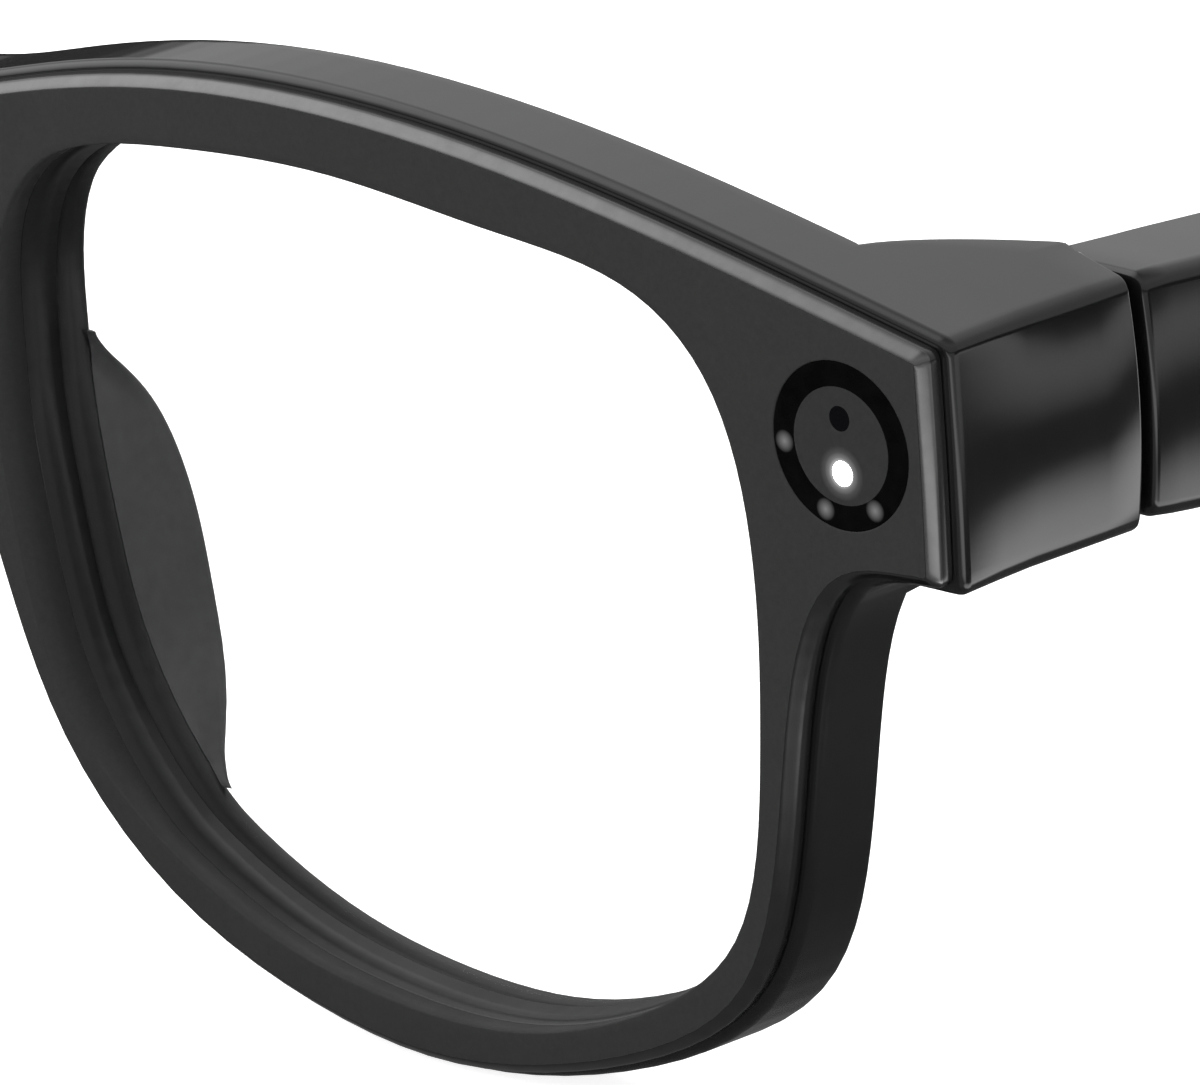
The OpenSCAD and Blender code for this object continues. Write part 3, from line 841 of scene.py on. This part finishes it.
def opening_profile(p):
    """(outward, depth) of the frame's inner wall at a point of the opening."""
    n = nasal(p)
    bevel = -(0.3 + 1.0 * n) * MM
    lip = rear_lip(p)
    deep = rim_depth(p)
    return [(front_lip(p), 1.27 * MM), (bevel, GROOVE), (bevel + 0.25 * MM, GROOVE + 0.03 * MM),
            (bevel + 0.25 * MM, GROOVE + 0.25 * MM), (lip, GROOVE + 0.3 * MM),
            (lip, deep - 0.3 * MM), (lip + 0.09 * MM, deep - 0.09 * MM), (lip + 0.3 * MM, deep)]


def opening_wall(mesh, loop):
    """Inner wall of a rim, back to the border of the rear face."""
    outs = normals(loop)
    rings = []
    for k in range(len(opening_profile(loop[0]))):
        points = []
        for p, n in zip(loop, outs):
            out, depth = opening_profile(p)[k]
            points.append(at_depth(p + n * out, depth))
        rings.append(ring(mesh, points))
    back = [at_depth(p + n * (opening_profile(p)[-1][0] + 0.75 * MM), rim_depth(p))
            for p, n in zip(loop, outs)]
    rings.append(ring(mesh, back))
    for k, (a, b) in enumerate(zip(rings, rings[1:])):
        strip(mesh, a, b, material=1 if k < len(rings) - 3 else 0)
    return rings[-1]


def opening_land(mesh, loop):
    """Border of the land under the plate, round an opening."""
    outs = normals(loop)
    edge = ring(mesh, [at_depth(p + n * front_lip(p), 1.27 * MM) for p, n in zip(loop, outs)])
    wide = ring(mesh, [at_depth(p + n * 0.25 * MM, 1.27 * MM) for p, n in zip(loop, outs)])
    strip(mesh, edge, wide)
    return wide


def build_lens(side, node):
    """Clear lens with a polished edge, seated in the rim's groove."""
    mesh = bmesh.new()
    loop = next(p for p in OPENING_LOOPS if p[0].x * side > 0)
    near, far = 3.42 * MM, 4.5 * MM
    profile = [(-3.0 * MM, near), (-0.4 * MM, near), (-0.1 * MM, near + 0.2 * MM),
               (-0.1 * MM, far - 0.2 * MM), (-0.4 * MM, far), (-3.0 * MM, far)]
    first, last = sweep(mesh, loop, profile)
    fill(mesh, first, [], lambda p: at_depth(p, near), grid=3 * MM)
    fill(mesh, last, [], lambda p: at_depth(p, far), grid=3 * MM)
    return finish_mesh(mesh, node + "_glass", [LENS_CLEAR], "front", node, slot="lens_clear")


build_face_plate()
build_front_frame()
build_lens(1, "lens_left")
build_lens(-1, "lens_right")


# ---------------------------------------------------------------- nose pads
PAD_TOP_Z = 31.0 * MM
PAD_FOOT_Z = 9.2 * MM
PAD_RISE = 4.8 * MM          # above the rear face of the rim
PAD_SINK = 0.1 * MM          # how far its outer face stands behind the rim's rear lip


def nose_edge(z):
    """x of the rear lip's nose side at a height."""
    loop = next(p for p in OPENING_LOOPS if p[0].x > 0)
    loop = moved(loop, [rear_lip(p) for p in loop])
    crossings = [a.x + (b.x - a.x) * (z - a.y) / (b.y - a.y)
                 for a, b in zip(loop, loop[1:] + loop[:1]) if (a.y > z) != (b.y > z)]
    return min(crossings)


def pad_section(lip_x, rise):
    """Closed outline [x, depth] of the fin: straight outer foot, flared edge, convex nasal face."""
    base, top = FRONT_T - 0.5 * MM, FRONT_T + rise
    outer = lip_x - PAD_SINK
    span = max(0.3 * MM, top - FRONT_T)
    points = []
    for k in range(11):
        t = k / 10
        points.append((outer - 0.12 * MM * math.sin(math.pi * min(1, t * 1.3))
                       + 0.65 * MM * t ** 3, base + (top - base - 0.28 * span ** 0.5 * MM ** 0.5) * t))
    edge_x, edge_y = points[-1]
    crown = top - edge_y
    for k in range(1, 7):
        a = math.pi / 2 * k / 6
        points.append((edge_x - 0.7 * MM * (1 - math.cos(a)), edge_y + crown * math.sin(a)))
    start_x = points[-1][0]
    foot = lip_x - 4.9 * MM
    for k in range(1, 15):
        t = k / 14
        points.append((start_x + (foot - start_x) * t, base + (top - base) * (1 - t ** 1.7)))
    return points


def build_nose_pad(side, node):
    """Moulded fin that rises from the rear of the nasal rim and blends into it at both ends."""
    mesh = bmesh.new()
    rows = 56
    rings = []
    for r in range(rows + 1):
        t = 0.5 - 0.5 * math.cos(math.pi * r / rows)
        z = PAD_TOP_Z + (PAD_FOOT_Z - PAD_TOP_Z) * t
        power = 0.55 + 0.75 * (2 * t - 1) ** 4
        rise = PAD_RISE * max(0.0, math.sin(math.pi * t)) ** power - 0.1 * MM
        points = []
        for x, depth in pad_section(nose_edge(z), rise):
            p = at_depth(Vector((x, z)), depth)
            points.append(Vector((side * p.x, p.y, p.z)))
        rings.append(ring(mesh, points))
    for a, b in zip(rings, rings[1:]):
        strip(mesh, a, b)
    for r in (rings[0], rings[-1]):
        mesh.faces.new(r).smooth = True
    return finish_mesh(mesh, node + "_moulding", [PAD_SATIN], "front", node, slot="pad_satin")


build_nose_pad(1, "nose_pad_left")
build_nose_pad(-1, "nose_pad_right")


# ---------------------------------------------------------------- temples
STATION_STEP = 1.2 * MM
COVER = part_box("temple_cover_left")


def probe(tree, origin, direction):
    """The first point that a ray hits, or None."""
    return tree.ray_cast(origin, direction)[0]


def nearest(tree, sides, start, direction):
    """The nearest hit of rays side by side across the temple's width, so that an opening in one
    place doesn't count; start is [y, z]."""
    hits = [probe(tree, Vector((sides[0] + (sides[1] - sides[0]) * share, *start)),
                  Vector((0, *direction))) for share in (0.2, 0.4, 0.6, 0.85)]
    hits = [hit for hit in hits if hit is not None]
    return min(hits, key=lambda hit: (Vector((hit.y, hit.z)) - start).length) if hits else None


def temple_stations(node):
    """Cross-sections along the left temple, measured on its CAD shell: centre [y, z], direction,
    half height and the inner and outer x; then the length of the tip beyond the last one."""
    mesh = bmesh.new()
    for part in (node, node.replace("shell", "cover")):
        mesh.from_mesh(frame["nodes"][part].data)
    tree = BVHTree.FromBMesh(mesh)
    mesh.free()
    low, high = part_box(node)
    sides = (66.2 * MM, high.x)
    here = Vector((low.y + 0.02 * MM, (high.z + 29.7 * MM) / 2))
    angle = 0.0
    stations = []
    while True:
        forward = Vector((math.cos(angle), math.sin(angle)))
        across = Vector((-forward.y, forward.x))
        up = nearest(tree, sides, here + across * 20 * MM, -across)
        down = nearest(tree, sides, here - across * 20 * MM, across)
        if up is None or down is None:
            break
        centre = Vector(((up.y + down.y) / 2, (up.z + down.z) / 2))
        half = Vector((up.y - down.y, up.z - down.z)).length / 2
        high_point = centre + across * half * 0.9
        outer = probe(tree, Vector((0.09, *centre)), Vector((-1, 0, 0)))
        inner = probe(tree, Vector((0.03, *high_point)), Vector((1, 0, 0)))
        if outer is None or inner is None:
            break
        sides = (inner.x, outer.x)
        stations.append((centre, forward, half, *sides))
        if len(stations) > 3:
            step = centre - stations[-4][0]
            want = math.atan2(step.y, step.x)
            angle += max(-0.035, min(0.035, want - angle))
        here = centre + Vector((math.cos(angle), math.sin(angle))) * STATION_STEP
    full = max(s[2] for s in stations[-12:])
    while stations[-1][2] < 0.93 * full:
        stations.pop()
    centre, forward, _, x_in, x_out = stations[-1]
    tip = probe(tree, Vector(((x_in + x_out) / 2, *(centre + forward * 30 * MM))),
                Vector((0, *-forward)))
    return stations, (Vector((tip.y, tip.z)) - centre).length


def averaged(values, reach=3):
    """Running mean that keeps both ends."""
    made = []
    for i in range(len(values)):
        r = min(reach, i, len(values) - 1 - i)
        window = values[i - r:i + r + 1]
        made.append(sum(window[1:], window[0].copy() if hasattr(window[0], "copy") else window[0])
                    / len(window))
    return made


def smoothed(stations):
    """Smoothed centres, half heights, and inner and outer x of the stations."""
    return [averaged([s[k] for s in stations], reach) for k, reach in ((0, 5), (2, 3), (3, 4), (4, 4))]


COVER_HALF = 4.2 * MM
SEAM = 0.09 * MM
RECESS = 0.5 * MM


def section(half, x_in, x_out, pull, recess):
    """Cross-section [across, x], closed: crowned outer face, soft corners and a flat inner face
    with room for the cover. pull is how far everything shrinks towards the middle."""
    half, x_in, x_out = half - pull, x_in + pull, x_out - pull
    crown = SIDE_CROWN * min(1, half / (5 * MM))
    r_out, r_in = min(0.9 * MM, half * 0.45), min(0.55 * MM, half * 0.3)
    points = []

    def side_x(a):
        return x_out - crown * (a / half) ** 2

    steps = 12
    top = half - r_out
    for k in range(1, steps):
        a = -top + 2 * top * k / steps
        points.append((a, side_x(a)))
    edge = side_x(top)
    for k in range(7):
        t = math.radians(90 - 90 * k / 6)
        points.append((top + r_out * math.cos(t), edge - r_out * (1 - math.sin(t))))
    points.append((half, (x_in + edge) / 2))
    for k in range(6):
        t = math.radians(-90 * k / 5)
        points.append((half - r_in + r_in * math.cos(t), x_in + r_in + r_in * math.sin(t)))
    limit = min(COVER_HALF + SEAM, half - r_in - 0.1 * MM)
    deep = x_in + recess
    for a, x in ((limit, x_in), (limit, deep), (0, deep), (-limit, deep), (-limit, x_in)):
        points.append((a, x))
    for k in range(6):
        t = math.radians(270 - 90 * k / 5)
        points.append((-half + r_in + r_in * math.cos(t), x_in + r_in + r_in * math.sin(t)))
    points.append((-half, (x_in + edge) / 2))
    for k in range(7):
        t = math.radians(180 - 90 * k / 6)
        points.append((-top + r_out * math.cos(t), edge - r_out * (1 - math.sin(t))))
    return points


HINGE_CLOSER = 0.5 * MM      # how much nearer the endpiece the temple starts than in the CAD


def build_temple(side, stations, tail):
    """Temple shell lofted through its stations, with rounded ends and a seat for the cover."""
    name = "temple_shell_left" if side > 0 else "temple_shell_right"
    centres, halves, inner, outer = smoothed(stations)
    mesh = bmesh.new()
    rings = []

    def place(centre, forward, half, x_in, x_out, pull=0.0, shrink=1.0, recess=0.0):
        across = Vector((-forward.y, forward.x))
        mid = (x_in + x_out) / 2
        points = []
        for a, x in section(half, x_in, x_out, pull, recess):
            p = centre + across * a * shrink
            rest = max(p.y, 0.02 * MM)
            points.append(Vector((side * (mid + (x - mid) * shrink), p.x, rest)))
        rings.append(ring(mesh, points))

    bevel = 0.5 * MM
    for k in range(5):
        t = math.pi / 2 * k / 5
        at = centres[0] + stations[0][1] * (bevel * (1 - math.cos(t)) - HINGE_CLOSER)
        place(at, stations[0][1], halves[0], inner[0], outer[0], pull=bevel * (1 - math.sin(t)))
    cover_start = COVER[0].y - SEAM
    cover_end = COVER[1].y + SEAM
    for i in range(1, len(stations)):
        forward = stations[i][1]
        inside_cover = cover_start < centres[i].x < cover_end
        was = cover_start < centres[i - 1].x < cover_end
        if inside_cover != was:
            edge_y = cover_start if inside_cover else cover_end
            share = (edge_y - centres[i - 1].x) / (centres[i].x - centres[i - 1].x)
            mixed = [a + (b - a) * share for a, b in ((halves[i - 1], halves[i]),
                                                      (inner[i - 1], inner[i]),
                                                      (outer[i - 1], outer[i]))]
            spot = centres[i - 1].lerp(centres[i], share)
            for depth in ((0, RECESS) if inside_cover else (RECESS, 0)):
                place(spot, forward, *mixed, recess=depth)
        place(centres[i], forward, halves[i], inner[i], outer[i],
              recess=RECESS if inside_cover else 0.0)
    for k in range(1, 9):
        t = math.pi / 2 * k / 8.6
        spot = centres[-1] + stations[-1][1] * tail * math.sin(t)
        place(spot, stations[-1][1], halves[-1], inner[-1], outer[-1], shrink=math.cos(t))
    for a, b in zip(rings, rings[1:]):
        strip(mesh, a, b)
    for end in (rings[0], rings[-1]):
        mesh.faces.new(end).smooth = True
    body = "left_temple" if side > 0 else "right_temple"
    piece = finish_mesh(mesh, name + "_loft", [GLOSS_BLACK], body, name, slot="frame_gloss")
    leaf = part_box("hinge_temple_leaf_left")
    shank = 60 * MM
    pocket = [sorted((side * shank, side * leaf[1].x)),
              (PIVOT.y + 1.4 * MM, leaf[1].y + 0.05 * MM),
              (leaf[0].z - 0.05 * MM, leaf[1].z + 0.05 * MM)]
    cut(piece, hinge_bore(side), brick(*zip(*pocket)))
    cuts = [grille_slot(side)]
    if side < 0:
        cuts.append(pill(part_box("capture_button"), 0.13 * MM))
    cut(piece, *cuts)
    keep_flat(piece)
    return piece


def grille_slot(side):
    """Cutter for the speaker grille's seat in the underside."""
    low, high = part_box("speaker_grille_left")
    mesh = brick((low.x - 0.05 * MM, low.y - 0.05 * MM, low.z - 3 * MM),
                 (high.x + 0.05 * MM, high.y + 0.05 * MM, high.z - 0.1 * MM))
    for v in mesh.verts:
        v.co.x *= side
    return mesh


def pill(box, gap):
    """Cutter for the capture button's slot: a round-ended prism square to the temple's top."""
    low, high = box
    tilt = Matrix.Rotation(-TEMPLE_TILT, 3, "X")
    centre = (low + high) / 2
    width = 2.6 * MM / 2 + gap
    length = 10 * MM / 2 + gap
    mesh = bmesh.new()
    outline = []
    for end in (1, -1):
        for k in range(17):
            a = math.pi * k / 16 + (0 if end > 0 else math.pi)
            outline.append(Vector((width * math.cos(a),
                                   end * (length - width) + width * math.sin(a), 0)))
    rings = [ring(mesh, [centre + tilt @ (p + Vector((0, 0, z))) for p in outline])
             for z in (-1.2 * MM, 4 * MM)]
    strip(mesh, *rings)
    mesh.faces.new(rings[0])
    mesh.faces.new(rings[1])
    return mesh


def keep_flat(piece):
    """Smooth shading that stays crisp across sharp edges."""
    for face in piece.data.polygons:
        face.use_smooth = True
    piece.data.set_sharp_from_angle(angle=math.radians(38))
    weighted = piece.modifiers.new("normals", "WEIGHTED_NORMAL")
    weighted.keep_sharp = True
    apply_modifiers(piece)


def build_cover(side, stations):
    """Inner cover: a thin flat panel with small broken edges in the temple's recess, a seam's width from
    its edge.
    """
    name = "temple_cover_left" if side > 0 else "temple_cover_right"
    centres, halves, inner, _ = smoothed(stations)
    mesh = bmesh.new()
    rings = []
    start, end = COVER[0].y, COVER[1].y
    chosen = [i for i in range(len(stations)) if start + 0.3 * MM < centres[i].x < end - 0.3 * MM]
    samples = []
    for y in (start, start + 0.12 * MM):
        samples.append((y, chosen[0]))
    samples += [(centres[i].x, i) for i in chosen]
    for y in (end - 0.12 * MM, end):
        samples.append((y, chosen[-1]))
    for k, (y, i) in enumerate(samples):
        forward = stations[i][1]
        spot = centres[i] + forward * ((y - centres[i].x) / forward.x)
        across = Vector((-forward.y, forward.x))
        limit = min(COVER_HALF, halves[i] - 0.75 * MM)
        edge = 0.12 * MM if k in (0, len(samples) - 1) else 0.0
        face_x = inner[i] + edge
        back = inner[i] + RECESS - 0.02 * MM
        shape = [(limit, back), (limit, face_x + 0.12 * MM), (limit - 0.04 * MM, face_x + 0.03 * MM),
                 (limit - 0.14 * MM, face_x), (0, face_x), (-limit + 0.14 * MM, face_x),
                 (-limit + 0.04 * MM, face_x + 0.03 * MM), (-limit, face_x + 0.12 * MM),
                 (-limit, back)]
        points = []
        for a, x in shape:
            p = spot + across * a
            points.append(Vector((side * x, p.x, p.y)))
        rings.append(ring(mesh, points))
    for a, b in zip(rings, rings[1:]):
        strip(mesh, a, b)
    for cap in (rings[0], rings[-1]):
        mesh.faces.new(cap)
    body = "left_temple" if side > 0 else "right_temple"
    piece = finish_mesh(mesh, name + "_panel", [COVER_BLACK], body, name, slot="cover_satin")
    if side > 0:
        low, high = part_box("power_slider")
        travel = 2 * MM
        slot_low = (60 * MM, low.y + 0.65 * MM, low.z + 0.45 * MM)
        slot_high = (69 * MM, high.y + travel - 0.35 * MM, high.z - 0.45 * MM)
        cut(piece, brick(slot_low, slot_high))
    keep_flat(piece)
    return piece


STATIONS, TIP_LENGTH = temple_stations("temple_shell_left")
for hand in (1, -1):
    build_temple(hand, STATIONS, TIP_LENGTH)
    build_cover(hand, STATIONS)


# ---------------------------------------------------------------- carried-over CAD nodes
NODE_MATERIALS = {
    "camera_ring": ring_material("camera_ring_gloss", "camera_ring"),
    "light_ring": ring_material("light_ring_gloss", "light_ring"),
    # the camera window's 0.75 is the strength of its painted glow round the status LED
    "camera_window": window_material("camera_window_matte", "status_led", 0.75),
    "light_window": window_material("light_window_matte", "light_lens", 0.0),
    "camera_lens": OPTIC, "light_sensor": OPTIC, "status_led": LED_ON, "light_lens": LED_OFF,
    "camera_module": HOUSING, "light_module": BOARD, "front_flex": FLEX,
    "bridge_microphone": SHIELD, "charge_contacts": GOLD, "battery": FOIL, "power_board": BOARD,
    "slider_switch": SHIELD, "power_slider": CONTROL, "main_board": BOARD, "processor": SHIELD,
    "touch_sensor": FLEX, "antenna": GOLD, "capture_button": CONTROL, "button_switch": SHIELD,
}
for hand in ("left", "right"):
    NODE_MATERIALS.update({
        "hinge_front_leaf_" + hand: STEEL, "hinge_temple_leaf_" + hand: STEEL,
        "hinge_screw_" + hand: SCREW_STEEL, "leaf_screws_" + hand: SCREW_STEEL,
        "speaker_" + hand: HOUSING, "speaker_grille_" + hand: GRILLE,
        "microphone_" + hand: SHIELD,
    })
for node_name, material in NODE_MATERIALS.items():
    node_data = frame["nodes"][node_name].data
    node_data.materials.clear()
    node_data.materials.append(material)


# ---------------------------------------------------------------- studio
def sheet(name, low, high, height, material, count=24):
    """A level sheet between two corners [x, y]."""
    mesh = bmesh.new()
    rows = [[mesh.verts.new((low[0] + (high[0] - low[0]) * i / count,
                             low[1] + (high[1] - low[1]) * j / count, height))
             for i in range(count + 1)] for j in range(count + 1)]
    for a, b in zip(rows, rows[1:]):
        strip(mesh, a, b, closed=False)
    data = bpy.data.meshes.new(name)
    mesh.to_mesh(data)
    mesh.free()
    data.materials.append(material)
    piece = bpy.data.objects.new(name, data)
    bpy.context.scene.collection.objects.link(piece)
    return piece


FLOOR_GLOW = 0.85            # keeps the paper pale without a hard lamp


def build_floor():
    """Wide pale sheet of paper that the glasses stand on."""
    material, tree, shader = new_material("floor_pale", (0.6, 0.6, 0.6), 0.8)
    shader.inputs["Emission Color"].default_value = (1, 1, 1, 1)
    shader.inputs["Emission Strength"].default_value = FLOOR_GLOW
    paper = add(tree, "ShaderNodeTexNoise", Scale=30.0, Detail=4.0)
    tree.links.new(coordinates(tree), paper.inputs["Vector"])
    tree.links.new(ramp(tree, paper.outputs["Fac"], [(0.3, 0.58), (0.7, 0.62)]),
                   shader.inputs["Base Color"])
    floor = sheet("floor", (-3, -3), (3, 3), -0.03 * MM, material)
    floor.visible_glossy = False


def reflection_only(piece):
    """Leaves a piece of the studio visible in gloss and nowhere else."""
    piece.visible_camera = False
    piece.visible_diffuse = False
    piece.visible_shadow = False
    piece.visible_transmission = False
    piece.visible_volume_scatter = False


# brightness of the floor in reflections, by distance beyond the side of the glasses; the dark bands
# nearest the glasses are painted shadow of the glasses
SIDE_BANDS = [(0, 0.15), (22, 0.25), (30, 3.3), (42, 2.8), (62, 0.1), (94, 0.1), (116, 0.8),
              (150, 1.15), (205, 1.1), (222, 0.08), (260, 0.03)]
# the same ahead of the glasses
FRONT_BANDS = [(0, 0.15), (5, 0.4), (50, 0.4), (68, 2.3), (95, 2.3), (110, 0.6), (260, 0.6)]


def build_floor_reflection():
    """Dark card with pale bands that stands in for the floor in reflections."""
    material, tree, shader = new_material("floor_reflection", (0, 0, 0), 1.0, specular=0.0)
    place = tree.nodes.new("ShaderNodeTexCoord")
    split = tree.nodes.new("ShaderNodeSeparateXYZ")
    tree.links.new(place.outputs["Object"], split.inputs["Vector"])
    side = add(tree, "ShaderNodeMath", operation="ABSOLUTE")
    tree.links.new(split.outputs["X"], side.inputs[0])
    reach = SIDE_BANDS[-1][0] * MM
    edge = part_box("front_frame")[1].x
    share = add(tree, "ShaderNodeMapRange")
    share.inputs["From Min"].default_value = edge
    share.inputs["From Max"].default_value = edge + reach
    tree.links.new(side.outputs["Value"], share.inputs["Value"])
    top = 3.5
    beside, before = (ramp(tree, share.outputs["Result"],
                           [(d * MM / reach, level / top) for d, level in bands])
                      for bands in (SIDE_BANDS, FRONT_BANDS))
    ahead = add(tree, "ShaderNodeMapRange")
    ahead.inputs["From Min"].default_value = FACE_Y - 30 * MM
    ahead.inputs["From Max"].default_value = FACE_Y - 12 * MM
    ahead.inputs["To Min"].default_value = 1.0
    ahead.inputs["To Max"].default_value = 0.0
    tree.links.new(split.outputs["Y"], ahead.inputs["Value"])
    mix = add(tree, "ShaderNodeMix", data_type="RGBA")
    tree.links.new(ahead.outputs["Result"], mix.inputs["Factor"])
    tree.links.new(beside, mix.inputs[6])
    tree.links.new(before, mix.inputs[7])
    tree.links.new(mix.outputs[2], shader.inputs["Emission Color"])
    shader.inputs["Emission Strength"].default_value = top
    reflection_only(sheet("floor_reflection", (-1.5, -1.5), (1.5, 1.5), -0.01 * MM, material, 4))


# soft lights painted on the sky: direction, radius in degrees, strength
SKY_LIGHTS = [((-0.25, 0.64, 0.73), 44, 0.3), ((-0.70, -0.30, 0.64), 42, 1.45)]


SKY_LEVELS = [(0.0, 0.03), (0.03, 0.05), (0.06, 0.55), (0.2, 0.6), (0.35, 0.6), (0.6, 0.75),
              (0.8, 0.6), (1.0, 0.4)]      # brightness by height above the horizon


def build_world():
    """Pale backdrop for the camera; reflections and light come from a grey sky, dark at the
    horizon, with two soft lights."""
    world = bpy.data.worlds.new("studio")
    bpy.context.scene.world = world
    world.use_nodes = True
    tree = world.node_tree
    tree.nodes.clear()
    place = tree.nodes.new("ShaderNodeTexCoord")
    split = tree.nodes.new("ShaderNodeSeparateXYZ")
    tree.links.new(place.outputs["Generated"], split.inputs["Vector"])
    total = ramp(tree, split.outputs["Z"], SKY_LEVELS)
    for aim, spread, strength in SKY_LIGHTS:
        dot = add(tree, "ShaderNodeVectorMath", operation="DOT_PRODUCT")
        dot.inputs[1].default_value = Vector(aim).normalized()
        tree.links.new(place.outputs["Generated"], dot.inputs[0])
        soft = add(tree, "ShaderNodeMapRange", interpolation_type="SMOOTHSTEP")
        soft.inputs["From Min"].default_value = math.cos(math.radians(spread))
        soft.inputs["From Max"].default_value = math.cos(math.radians(spread * 0.25))
        soft.inputs["To Max"].default_value = strength
        tree.links.new(dot.outputs["Value"], soft.inputs["Value"])
        joined = add(tree, "ShaderNodeMath", operation="ADD")
        tree.links.new(total, joined.inputs[0])
        tree.links.new(soft.outputs["Result"], joined.inputs[1])
        total = joined.outputs["Value"]
    seen = tree.nodes.new("ShaderNodeLightPath")
    mix = add(tree, "ShaderNodeMix", data_type="RGBA")
    tree.links.new(seen.outputs["Is Camera Ray"], mix.inputs["Factor"])
    tree.links.new(total, mix.inputs[6])
    mix.inputs[7].default_value = (1, 1, 1, 1)
    background = add(tree, "ShaderNodeBackground", Strength=1.0)
    tree.links.new(mix.outputs[2], background.inputs["Color"])
    out = tree.nodes.new("ShaderNodeOutputWorld")
    tree.links.new(background.outputs["Background"], out.inputs["Surface"])


def softbox(name, place, target, size, power):
    """A large area light aimed at a point, hidden from the camera and from gloss."""
    data = bpy.data.lights.new(name, "AREA")
    data.shape, data.size, data.size_y, data.energy = "RECTANGLE", size[0], size[1], power
    lamp = bpy.data.objects.new(name, data)
    lamp.location = place
    lamp.rotation_mode = "QUATERNION"
    lamp.rotation_quaternion = (Vector(target) - Vector(place)).to_track_quat("-Z", "Y")
    lamp.visible_camera = False
    lamp.visible_glossy = False
    bpy.context.scene.collection.objects.link(lamp)


bpy.context.scene.view_settings.view_transform = "Standard"
build_floor()
build_floor_reflection()
build_world()
softbox("overhead", (0.1, 0.1, 1.1), (0, 0, 0), (1.4, 1.4), 14)
softbox("key", (0.5, -1.0, 0.7), (0.05, -0.05, 0.02), (0.9, 0.7), 7)
